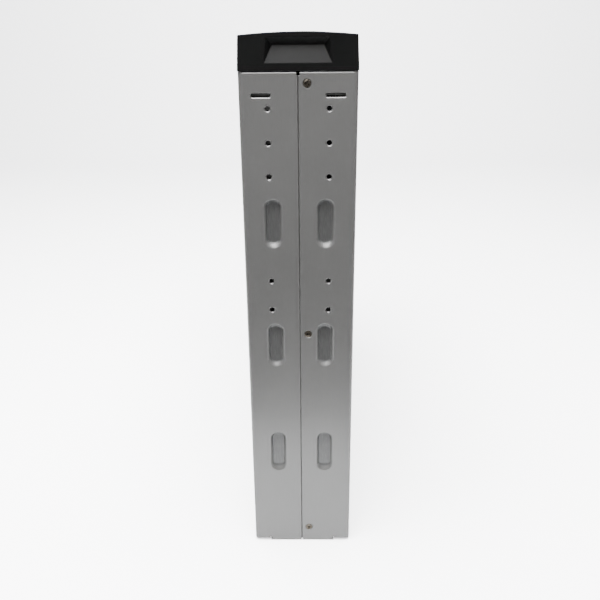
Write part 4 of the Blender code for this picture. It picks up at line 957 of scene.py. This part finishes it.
low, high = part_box("status_board")
under = high.z - 0.0076
upper = under + BOARD
window, button = middle_of("status_window"), middle_of("test_button")
board = slab((low.x, low.y, under), (high.x, high.y, upper), 0.0002)
posts = [turned([(0, low.z), (POST, low.z), (POST, under), (0, under)], upright(x, y), 6)
         for x in (low.x + 0.0035, high.x - 0.0035) for y in (low.y + 0.0035, high.y - 0.0035)]
stand_for(finish_mesh(stow(board, *posts), "status_board_lacquered", lacquer, 40), "status_board")
lamps = bmesh.new()
for i in range(-2, 3):
    at = Matrix.Translation((window.x, window.y + i * 0.0080, upper))
    stow(lamps, turned([(0, 0.0002), (0.0019, 0.0002), (0.0019, 0.0007), (0.00155, 0.0008), (0.00155, 0.0018),
                        (0.0013, 0.0024), (0.0007, 0.0028), (0, 0.0029)], at, 24))
fitted(lamps, "status_lamps", lamp_lens, "status_board", 40)
switch = slab((button.x - 0.0030, button.y - 0.0030, upper),
              (button.x + 0.0030, button.y + 0.0030, under + 0.0046), 0.0004)
stow(switch, turned([(0, 0.0046), (0.0017, 0.0046), (0.0017, 0.0057), (0.0014, 0.0060), (0, 0.0060)],
                    Matrix.Translation((button.x, button.y, under)), 24))
body, feet = chip((button.x + 0.0040, button.y - 0.0180, upper), (0.0060, 0.0040, 0.0013), 5,
                  Matrix.Identity(4))
stow(switch, body)
fitted(switch, "test_switch", chip_black, "status_board", 40)
fitted(feet, "status_chip_legs", tinned, "status_board", 40)


# ---- plug-in connector -------------------------------------------------------------
# The bay's half is a housing with blades inside. The drawer's half is a shroud that goes
# into it as the drawer is pushed home, held by two ears on the drawer's rear wall.
PLUG_X = 0.0345
FLANGE_SHIFT = -0.00185
EARS_SHIFT = -0.0001
low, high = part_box("bay_connector")
housing = stacked(PLUG_X, 0, [(0.0110, 0.0600, 0.0006, 0.0620), (0.0110, 0.0600, 0.0008, high.z - 0.0010),
                              (0.0122, 0.0612, 0.0012, high.z),
                              (0.0169, 0.0876, 0.0014, high.z, FLANGE_SHIFT),
                              (0.0173, 0.0880, 0.0016, high.z - 0.0003, FLANGE_SHIFT),
                              (0.0173, 0.0880, 0.0016, high.z - 0.0020, FLANGE_SHIFT),
                              (0.0140, 0.0680, 0.0010, high.z - 0.0021), (0.0140, 0.0680, 0.0010, low.z)])
moulded(housing, "bay_connector_housing", moulding, "bay_connector")
low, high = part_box("drawer_connector")
plug = stacked(PLUG_X, 0, [(0.0078, 0.0562, 0.0006, 0.0780), (0.0082, 0.0572, 0.0008, low.z + 0.0006),
                           (0.0094, 0.0584, 0.0010, low.z), (0.0102, 0.0592, 0.0012, low.z + 0.0006),
                           (0.0102, 0.0592, 0.0012, 0.0850), (0.0118, 0.0620, 0.0010, 0.0851),
                           (0.0118, 0.0620, 0.0010, 0.0894),
                           (0.0128, 0.0860, 0.0016, 0.0895, EARS_SHIFT),
                           (0.0128, 0.0860, 0.0016, 0.0920, EARS_SHIFT),
                           (0.0118, 0.0620, 0.0010, 0.0921), (0.0118, 0.0620, 0.0010, 0.1110),
                           (0.0108, 0.0610, 0.0010, 0.1120)])
moulded(plug, "drawer_connector_housing", moulding, "drawer_connector")
blades = bmesh.new()
for y in (-0.0220, -0.0080, 0.0080, 0.0220):
    for way in (-1, 1):
        x = 0.0339 + way * 0.0006
        stow(blades, slab((x - 0.0004, y - 0.0045, 0.0700), (x + 0.0004, y + 0.0045, 0.0775), 0.0002))
fitted(blades, "drawer_connector_blades", tinned, "drawer_connector")


# ---- drawer tray and front ---------------------------------------------------------
# A tray of zinc-coated sheet, its walls folded up and its floor slotted for lightness,
# with a stiff front plate. The plate's lugs carry the bail.
eased("drawer_tray", zinc, 0.00015)
eased("drawer_front", zinc, 0.00025)
eased("hold_down_strap", zinc, 0.00015)
rivets = bmesh.new()
front_z = 0.4018
dome = [(0.0021, 0.0), (0.0021, 0.0002), (0.0019, 0.0006), (0.0013, 0.0009), (0.0006, 0.00105), (0, 0.0011)]
for side in (-1, 1):
    for x in (-0.0300, -0.0100, 0.0200):
        stow(rivets, turned([(0, 0.0), *dome], Matrix.Translation((x, side * 0.2050, front_z)), 24))
fitted(rivets, "front_rivets", passivated, "drawer_front", 50)


# ---- battery blocks ----------------------------------------------------------------
# Eight sealed twelve-volt blocks. Each is a dark ABS jar with a welded lid, a raised
# cover over its valves, a shallow well round each terminal and a tinned spade tab.
jar = clouded("block_abs", (900.0, 900.0, 25.0), ((0.038, 0.042, 0.047), (0.052, 0.056, 0.062)),
              (0.42, 0.56), 0.00007, (0.0008, 120.0, 0.5, (0.13, 0.135, 0.14)), Specular_IOR_Level=0.45)

TAB_X = 0.0168
TAB_FROM_END = 0.0180
for number in range(1, 9):
    node = f"battery_block_{number}"
    low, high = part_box(node)
    middle = middle_of(node)
    x, y = high.x - low.x, high.z - low.z
    height = high.y - low.y - 0.0065
    inner = min(abs(low.y), abs(high.y)) < 0.05
    facing = 1 if inner == (high.y > 0) else -1
    on_side = Matrix(((1, 0, 0), (0, 0, facing), (0, -facing, 0))).to_4x4()
    spot = Matrix.Translation((middle.x, low.y if facing > 0 else high.y, middle.z)) @ on_side
    block = stacked(0, 0, [(x - 0.0016, y - 0.0016, 0.0030, 0.0), (x, y, 0.0036, 0.0012),
                           (x, y, 0.0036, 0.0770), (x - 0.0010, y - 0.0010, 0.0034, 0.0773),
                           (x - 0.0010, y - 0.0010, 0.0034, 0.0783), (x, y, 0.0036, 0.0786),
                           (x, y, 0.0036, height - 0.0010), (x - 0.0018, y - 0.0018, 0.0030, height)], 4)
    tab_at = TAB_X - middle.x
    stow(block, stacked(-tab_at * 0.35, 0, [(0.0300, 0.0940, 0.0030, height - 0.0004),
                                            (0.0300, 0.0940, 0.0030, height + 0.0008),
                                            (0.0290, 0.0930, 0.0026, height + 0.0012)], 4))
    for way in (-1, 1):
        for i in range(3):
            at = way * (0.0180 + 0.0130 * i)
            stow(block, slab((-x / 2 + 0.0018, at - 0.0020, height - 0.0003),
                             (-x / 2 + 0.0075, at + 0.0020, height + 0.0005)))
    tabs = bmesh.new()
    for way in (-1, 1):
        at = way * (y / 2 - TAB_FROM_END)
        stow(block, stacked(tab_at, at, [(0.0104, 0.0120, 0.0020, height - 0.0003),
                                         (0.0104, 0.0120, 0.0020, height + 0.0006),
                                         (0.0096, 0.0112, 0.0018, height + 0.0008),
                                         (0.0080, 0.0096, 0.0014, height + 0.0008),
                                         (0.0078, 0.0094, 0.0014, height + 0.0003)]))
        stow(tabs, slab((tab_at - 0.0004, at - 0.0032, height - 0.0005),
                        (tab_at + 0.0004, at + 0.0032, height + 0.0065)))
    for shape in (block, tabs):
        bmesh.ops.transform(shape, matrix=spot, verts=shape.verts)
    moulded(block, node + "_jar", jar, node, 0.0003)
    fitted(tabs, node + "_tabs", tinned, node)


# ---- links, fuses and leads --------------------------------------------------------
# Tinned bars join the blocks in each string, a moulded fuse crosses each aisle, and
# flexible leads run from the strings' ends to the connector.
fuse_body = clouded("fuse_moulding", (1200.0, 1200.0, 60.0), ((0.55, 0.43, 0.16), (0.66, 0.54, 0.24)),
                    (0.25, 0.4), 0.00003, Specular_IOR_Level=0.5)
lying_across = Matrix.Rotation(-math.pi / 2, 4, "X")
for side_name, side in (("right", -1), ("left", 1)):
    for row in ("outer", "inner"):
        eased(f"block_link_{side_name}_{row}", tinned, 0.00025)
    node = f"string_fuse_{side_name}"
    low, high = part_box(node)
    centre = middle_of(node)
    spot = Matrix.Translation((centre.x, low.y, centre.z)) @ lying_across
    length = high.y - low.y
    wide, tall = high.x - low.x, high.z - low.z
    body = stacked(0, 0, [(wide * 0.9, tall * 0.9, 0.0012, 0.0), (wide, tall, 0.0016, 0.0006),
                          (wide, tall, 0.0016, length / 2 - 0.0008),
                          (wide * 0.94, tall * 0.96, 0.0014, length / 2 - 0.0005),
                          (wide * 0.94, tall * 0.96, 0.0014, length / 2 + 0.0005),
                          (wide, tall, 0.0016, length / 2 + 0.0008), (wide, tall, 0.0016, length - 0.0006),
                          (wide * 0.9, tall * 0.9, 0.0012, length)], 4)
    bmesh.ops.transform(body, matrix=spot, verts=body.verts)
    moulded(body, node + "_moulding", fuse_body, node, 0.0003)
    smooth_lead(f"string_lead_{side_name}_negative", black_pvc)
    smooth_lead(f"string_lead_{side_name}_positive", red_pvc)


# ---- thumbscrews, studs and bail ---------------------------------------------------
# Two captive screws with diamond-knurled heads lock the drawer, two ball studs take the
# bezel's sockets, and a bail of 3.4 mm wire with a ribbed grip pulls the drawer.
abs_black = clouded("textured_abs", (2600.0, 2600.0, 22.0),
                    ((0.0056, 0.0056, 0.0056), (0.0082, 0.0082, 0.0082)), (0.40, 0.52), 0.00004,
                    (0.0007, 90.0, 0.55, (0.030, 0.030, 0.031)), Specular_IOR_Level=0.28)


def knurled_screw(spot, head, top, low_head, foot):
    """A thumbscrew: a knurled head on a plain collar and a threaded shank."""
    rows = [low_head + 0.0003 + (top - low_head - 0.0006) * i / 8 for i in range(9)]
    knurl = [(head, z) for z in rows]
    thread = [(0.0020 if i % 2 else 0.00172, foot + 0.0009 + 0.00035 * i) for i in range(28)]
    profile = [(0, top), (head - 0.0009, top), (head - 0.0004, top - 0.0001), *reversed(knurl),
               (head - 0.0006, low_head), (0.0036, low_head), (0.0036, low_head - 0.0020),
               *reversed(thread), (0.0012, foot), (0, foot)]
    shape = turned(profile, steps=60)
    for vert in shape.verts:
        radius = Vector((vert.co.x, vert.co.y)).length
        if radius > head - 1e-5:
            turn = round(math.atan2(vert.co.y, vert.co.x) / math.radians(6))
            layer = min(range(9), key=lambda i: abs(rows[i] - vert.co.z))
            if (turn + layer) % 2:
                vert.co.x *= 1 - 0.00035 / head
                vert.co.y *= 1 - 0.00035 / head
    bmesh.ops.transform(shape, matrix=spot, verts=shape.verts)
    return shape


for side_name in ("right", "left"):
    node = f"drawer_screw_{side_name}"
    low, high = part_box(node)
    at = upright(*middle_of(node).xy)
    screw = knurled_screw(at, 0.0055, high.z, high.z - 0.0076, low.z)
    stand_for(finish_mesh(screw, node + "_knurled", passivated, 28), node)
    node = f"bezel_stud_{side_name}"
    low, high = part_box(node)
    at = upright(*middle_of(node).xy)
    ball = [(0.0036 * math.cos(math.radians(a)), high.z - 0.0036 + 0.0036 * math.sin(math.radians(a)))
            for a in range(90, -46, -9)]
    stud = turned([(0, high.z), *ball[1:], (0.0021, high.z - 0.0070), (0.0025, high.z - 0.0080),
                   (0.0025, 0.4054), (0.0046, 0.4054), (0.0050, 0.4051), (0.0050, 0.4021), (0.0025, 0.4021),
                   (0.0025, low.z), (0, low.z)], at, 36)
    stand_for(finish_mesh(stud, node + "_turned", passivated, 35), node)

low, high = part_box("drawer_handle")
wire = 0.0017
pivot_x, wire_z = high.x - wire, (low.z + high.z) / 2
reach_x = low.x + wire
turn_radius = 0.0060
arm_y = 0.0570
rail = bpy.data.curves.new("bail", "CURVE")
rail.dimensions = "3D"
rail.bevel_depth = wire
rail.bevel_resolution = 5
rail.use_fill_caps = True
bend = [(turn_radius * (1 - math.sin(a)), turn_radius * (1 - math.cos(a)))
        for a in (math.radians(90 * i / 8) for i in range(9))]
half = [(high.y, pivot_x)]
half += [(arm_y + long, pivot_x - short) for long, short in bend]
half += [(arm_y - short, reach_x + long) for long, short in bend]
points = [Vector((x, y, wire_z)) for y, x in half] + [Vector((x, -y, wire_z)) for y, x in reversed(half)]
path = rail.splines.new("POLY")
path.points.add(len(points) - 1)
for knot, point in zip(path.points, points):
    knot.co = (*point, 1)
carrier = bpy.data.objects.new("bail", rail)
bpy.context.scene.collection.objects.link(carrier)
bent = bmesh.new()
bent.from_mesh(bpy.data.meshes.new_from_object(carrier.evaluated_get(bpy.context.evaluated_depsgraph_get())))
bmesh.ops.remove_doubles(bent, verts=bent.verts, dist=1e-6)
bpy.data.objects.remove(carrier)
stand_for(finish_mesh(bent, "bail_wire", passivated, 50), "drawer_handle")

low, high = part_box("handle_grip")
middle = middle_of("handle_grip")
radius = (high.x - low.x) / 2
bore = wire + 0.0003
groove = radius - 0.00035
RIB_COUNT = 18
pitch = (high.y - low.y - 0.0060) / RIB_COUNT
ribs = []
for i in range(RIB_COUNT):
    start = low.y + 0.0030 + pitch * i
    ribs += [(groove, start), (groove, start + pitch * 0.25),
             (radius, start + pitch * 0.4), (radius, start + pitch * 0.85)]
grip = turned([(bore, low.y), (radius - 0.0006, low.y), (radius, low.y + 0.0006), (radius, low.y + 0.0026),
               *ribs, (radius, high.y - 0.0026), (radius, high.y - 0.0006), (radius - 0.0006, high.y),
               (bore, high.y), (bore, low.y)],
              Matrix.Translation((middle.x, 0, middle.z)) @ lying_across, 32)
stand_for(finish_mesh(grip, "ribbed_grip", abs_black, 40), "handle_grip")


# ---- bezel -------------------------------------------------------------------------
# One moulding in black ABS with a fine spark-eroded texture, bowed over the two rack
# units. Each end has a hipped recess for the fingers that pull it off its studs, and the
# face has two banks of louvres, an opening for the window and one for the button.
bezel_low, bezel_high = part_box("bezel_shell")
BEZEL_X = bezel_high.x
BEZEL_Y = bezel_high.y
BEZEL_REAR = bezel_low.z
CROWN = 0.0021
BEZEL_DRAFT = 0.0011
BEZEL_EDGE = bezel_high.z - CROWN
FACE_X = BEZEL_X - BEZEL_DRAFT
BEZEL_WALL = 0.0025
ROUND = 0.0007
MOUTH_LOW_X, MOUTH_LOW_Z = 0.0245, 0.0056
MOUTH_HIGH_X, MOUTH_HIGH_Z = 0.0227, 0.0232
MOUTH_LIP_X, MOUTH_LIP_Z = 0.0008, 0.0007
MOUTH_MIDDLE = 0.0150
RIDGE_X, RIDGE_Z, RIDGE_DEPTH = 0.0188, 0.0180, 0.0050
LOUVRE_ROWS = [0.010 * step for step in range(-3, 4)]
LOUVRE_COLUMNS = (-0.0780, 0.0260)
LOUVRE_LENGTH = 0.0900
LOUVRE_RADIUS = 0.0017
WINDOW_SIZE = Vector((0.0146, 0.0486))
WINDOW_LIP = 0.0024
BUTTON_HOLE = 0.0068
FACE_BORDER = 0.0030
FACE_STRIPS = 28


def bow(x):
    """How far the bezel's face stands above its long edges at x."""
    radius = (FACE_X ** 2 + CROWN ** 2) / (2 * CROWN)
    return math.sqrt(radius ** 2 - min(abs(x), FACE_X) ** 2) - (radius - CROWN)


shell = bmesh.new()
inner_x, inner_y = FACE_X - FACE_BORDER, BEZEL_Y - FACE_BORDER
fill = loop(shell, [(x * inner_x, y * inner_y, BEZEL_EDGE)
                    for x, y in ((1, 1), (-1, 1), (-1, -1), (1, -1))])
front_holes = []
for x in LOUVRE_ROWS:
    for y in LOUVRE_COLUMNS:
        spot = Matrix.Translation((x, y, BEZEL_EDGE)) @ Matrix.Rotation(math.pi / 2, 4, "Z")
        straight = LOUVRE_LENGTH - 2 * LOUVRE_RADIUS
        rim = oval(shell, spot, LOUVRE_RADIUS + 0.0009, straight, 12)
        sink(shell, rim, spot, [(LOUVRE_RADIUS, 0.0)], straight)
        front_holes += rim
lip_size = WINDOW_SIZE + Vector((WINDOW_LIP, WINDOW_LIP))
window_rim = rounded_rectangle(shell, window, lip_size, 0.0022, BEZEL_EDGE)
front_holes += window_rim
pull(shell, window_rim, lambda p: Vector((
    window.x + (p.x - window.x) * WINDOW_SIZE.x / lip_size.x,
    window.y + (p.y - window.y) * WINDOW_SIZE.y / lip_size.y, p.z)))
spot = Matrix.Translation((button.x, button.y, BEZEL_EDGE))
rim = oval(shell, spot, BUTTON_HOLE + 0.0012, 0.0, 36)
sink(shell, rim, spot, [(BUTTON_HOLE, 0.0)])
front_holes += rim
bmesh.ops.triangle_fill(shell, use_beauty=True, edges=fill + front_holes, normal=(0, 0, 1))
for step in range(1, FACE_STRIPS):
    cut = inner_x * (2 * step / FACE_STRIPS - 1)
    bmesh.ops.bisect_plane(shell, geom=shell.verts[:] + shell.edges[:] + shell.faces[:],
                           plane_co=(cut, 0, 0), plane_no=(1, 0, 0), dist=1e-6)
rim = [e for e in shell.edges if e.is_boundary and (
    all(abs(abs(v.co.x) - inner_x) < 1e-6 for v in e.verts)
    or all(abs(abs(v.co.y) - inner_y) < 1e-6 for v in e.verts))]


def outwards(point, reach, drop):
    """Moves a rim point straight out over whichever edges of the face it lies on."""
    moved = point.copy()
    if abs(point.x) > inner_x - 1e-6:
        moved.x = math.copysign(FACE_X - reach, point.x)
    if abs(point.y) > inner_y - 1e-6:
        moved.y = math.copysign(BEZEL_Y - reach, point.y)
    moved.z = BEZEL_EDGE - drop
    return moved


ROUND_STEPS = 10
for step in range(ROUND_STEPS):
    angle = math.pi / 2 * step / (ROUND_STEPS - 1)
    rim = pull(shell, rim, lambda p, angle=angle: outwards(
        p, ROUND * (1 - math.sin(angle)), ROUND * (1 - math.cos(angle))))
for vert in shell.verts:
    vert.co.z += bow(vert.co.x)
long_sides = [e for e in rim if all(abs(abs(v.co.x) - FACE_X) < 1e-6 for v in e.verts)]
pull(shell, long_sides, lambda p: Vector((math.copysign(BEZEL_X, p.x), p.y, BEZEL_REAR)))
low_z, high_z = MOUTH_LOW_Z - MOUTH_LIP_Z, MOUTH_HIGH_Z + MOUTH_LIP_Z
low_x, high_x = MOUTH_LOW_X + MOUTH_LIP_X, MOUTH_HIGH_X + MOUTH_LIP_X
for side in (-1, 1):
    end_top = [e for e in rim if all(abs(v.co.y - side * BEZEL_Y) < 1e-6 for v in e.verts)]
    posts = [e for e in shell.edges if e not in rim and all(
        abs(v.co.y - side * BEZEL_Y) < 1e-6 and abs(v.co.x) > FACE_X - 1e-6 for v in e.verts)]
    feet = [v for e in posts for v in e.verts if v.co.z < BEZEL_REAR + 1e-6]
    sill = shell.edges.new(feet)
    mouth = loop(shell, [(x, side * BEZEL_Y, LENGTH + z) for x, z in (
        (low_x, low_z), (-low_x, low_z), (-high_x, high_z), (high_x, high_z))])
    bmesh.ops.triangle_fill(shell, use_beauty=True, edges=end_top + posts + [sill] + mouth,
                            normal=(0, side, 0))
    lip = pull(shell, mouth, lambda p: Vector((
        p.x - math.copysign(MOUTH_LIP_X, p.x), p.y,
        p.z - math.copysign(MOUTH_LIP_Z, p.z - LENGTH - MOUTH_MIDDLE))))
    pull(shell, lip, lambda p: Vector((
        math.copysign(RIDGE_X, p.x), side * (BEZEL_Y - RIDGE_DEPTH), LENGTH + RIDGE_Z)))
bmesh.ops.remove_doubles(shell, verts=shell.verts, dist=0.00001)
face_out(shell, (BEZEL_X, 0, BEZEL_EDGE - 0.01), (1, 0, 0))
SHARP_FROM = 17.0
bezel = finish_mesh(shell, "bezel_moulding", abs_black, SHARP_FROM)
thicken(bezel, BEZEL_WALL)
soften(bezel, 0.0003, 2, SHARP_FROM)
level_faces(bezel)
stand_for(bezel, "bezel_shell")


# ---- window and test button --------------------------------------------------------
# A smoked polycarbonate window, clipped in from behind over the status lamps, and a
# dished black button whose stem reaches the switch on the status board.
smoked, tree, shader = new_finish("smoked_polycarbonate", Transmission_Weight=0.55, IOR=1.58,
                                  Coat_Weight=0.4, Coat_Roughness=0.04)
grain = use(tree, grain_group, Across=600.0, Along=600.0, Cloud=45.0)
feed(tree, shader, Base_Color=blend(tree, grain["Clouds"], (0.012, 0.012, 0.014), (0.030, 0.030, 0.034)),
     Roughness=spread(tree, grain["Clouds"], 0.05, 0.14), Normal=bump(tree, grain["Clouds"], 0.00003))
low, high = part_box("status_window")
lip_x, lip_y = high.x - low.x, high.y - low.y
pane_x, pane_y = lip_x - 0.0040, lip_y - 0.0040
pane = stacked(window.x, window.y, [
    (lip_x, lip_y, 0.0020, low.z), (lip_x, lip_y, 0.0020, low.z + 0.0015),
    (pane_x, pane_y, 0.0012, low.z + 0.0016), (pane_x, pane_y, 0.0012, high.z - 0.0006),
    (pane_x - 0.0004, pane_y - 0.0004, 0.0011, high.z - 0.0002),
    (pane_x - 0.0012, pane_y - 0.0012, 0.0008, high.z)], 5)
stand_for(finish_mesh(pane, "smoked_pane", smoked, 25), "status_window")

low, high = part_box("test_button")
cap = (high.x - low.x) / 2 - 0.0015
dish = [(cap * i / 8 * 0.86, high.z - 0.0008 * (1 - (i / 8) ** 2)) for i in range(9)]
plunger = turned([*dish, (cap - 0.0005, high.z), (cap - 0.00015, high.z - 0.00015), (cap, high.z - 0.0005),
                  (cap, high.z - 0.0034), (cap + 0.0015, high.z - 0.0036), (cap + 0.0015, high.z - 0.0046),
                  (0.0020, high.z - 0.0046), (0.0020, low.z), (0, low.z)], upright(*button.xy), 48)
stand_for(finish_mesh(plunger, "dished_button", moulding, 35), "test_button")


# ---- floor and light ---------------------------------------------------------------
# A sheet of white paper, swept up behind the pack and ending in front of it, under one
# wide soft light. The paper is burnt out to the lens only, as in a bright product picture.
def lens_only(tree, plain, seen):
    """One colour for light that bounces, and another for what the lens sees directly."""
    return blend(tree, place(tree, "ShaderNodeLightPath").outputs["Is Camera Ray"], plain, seen)


paper = bpy.data.materials.new("paper")
paper.use_nodes = True
tree = paper.node_tree
tree.nodes.remove(tree.nodes["Principled BSDF"])
sheet_of_paper = place(tree, "ShaderNodeBsdfDiffuse", {
    "Color": lens_only(tree, (0.84, 0.85, 0.86), (5.0, 5.0, 5.05))})
glow = place(tree, "ShaderNodeEmission", {"Strength": 6.4})
to_lens = place(tree, "ShaderNodeMath", {
    0: place(tree, "ShaderNodeLightPath").outputs["Is Camera Ray"], 1: 0.15}, operation="MULTIPLY")
burnt_out = place(tree, "ShaderNodeMixShader", {
    0: to_lens.outputs[0], 1: sheet_of_paper.outputs[0], 2: glow.outputs[0]})
tree.links.new(burnt_out.outputs[0], tree.nodes["Material Output"].inputs["Surface"])

sweep = bmesh.new()
near_edge, far_edge, rise = -0.43, 1.7, 2.2
front_edge = sweep.edges.new([sweep.verts.new((x, near_edge, 0)) for x in (-2.5, 2.5)])
level = pull(sweep, [front_edge], lambda p: Vector((p.x, far_edge, 0)))
curve = bmesh.ops.spin(sweep, geom=level + list({v for e in level for v in e.verts}),
                       cent=(0, far_edge, 0.6), axis=(1, 0, 0), angle=math.pi / 2, steps=12)["geom_last"]
top_edge = [part for part in curve if isinstance(part, bmesh.types.BMEdge)]
pull(sweep, top_edge, lambda p: p + Vector((0, 0, rise)))
floor = finish_mesh(sweep, "paper_sweep", paper)

world = bpy.data.worlds.new("studio")
world.use_nodes = True
tree = world.node_tree
tree.links.new(lens_only(tree, (0.16, 0.16, 0.16), (7.5, 7.5, 7.6)), tree.nodes["Background"].inputs["Color"])
bpy.context.scene.world = world


def softbox(name, location, target, size, power):
    """A square area light that faces a point."""
    lamp = bpy.data.lights.new(name, "AREA")
    lamp.size = size
    lamp.energy = power
    made = bpy.data.objects.new(name, lamp)
    made.location = location
    made.rotation_euler = (Vector(target) - Vector(location)).to_track_quat("-Z", "Y").to_euler()
    bpy.context.scene.collection.objects.link(made)


softbox("overhead", (-0.12, -0.35, 1.5), (0, -0.05, 0.1), 1.3, 47.0)
softbox("backdrop", (0, 0.80, 1.9), (0, 2.30, 0.9), 1.2, 14.0)
softbox("front", (-0.25, -1.30, 1.35), (0, -0.2, 0.35), 0.7, 4.5)
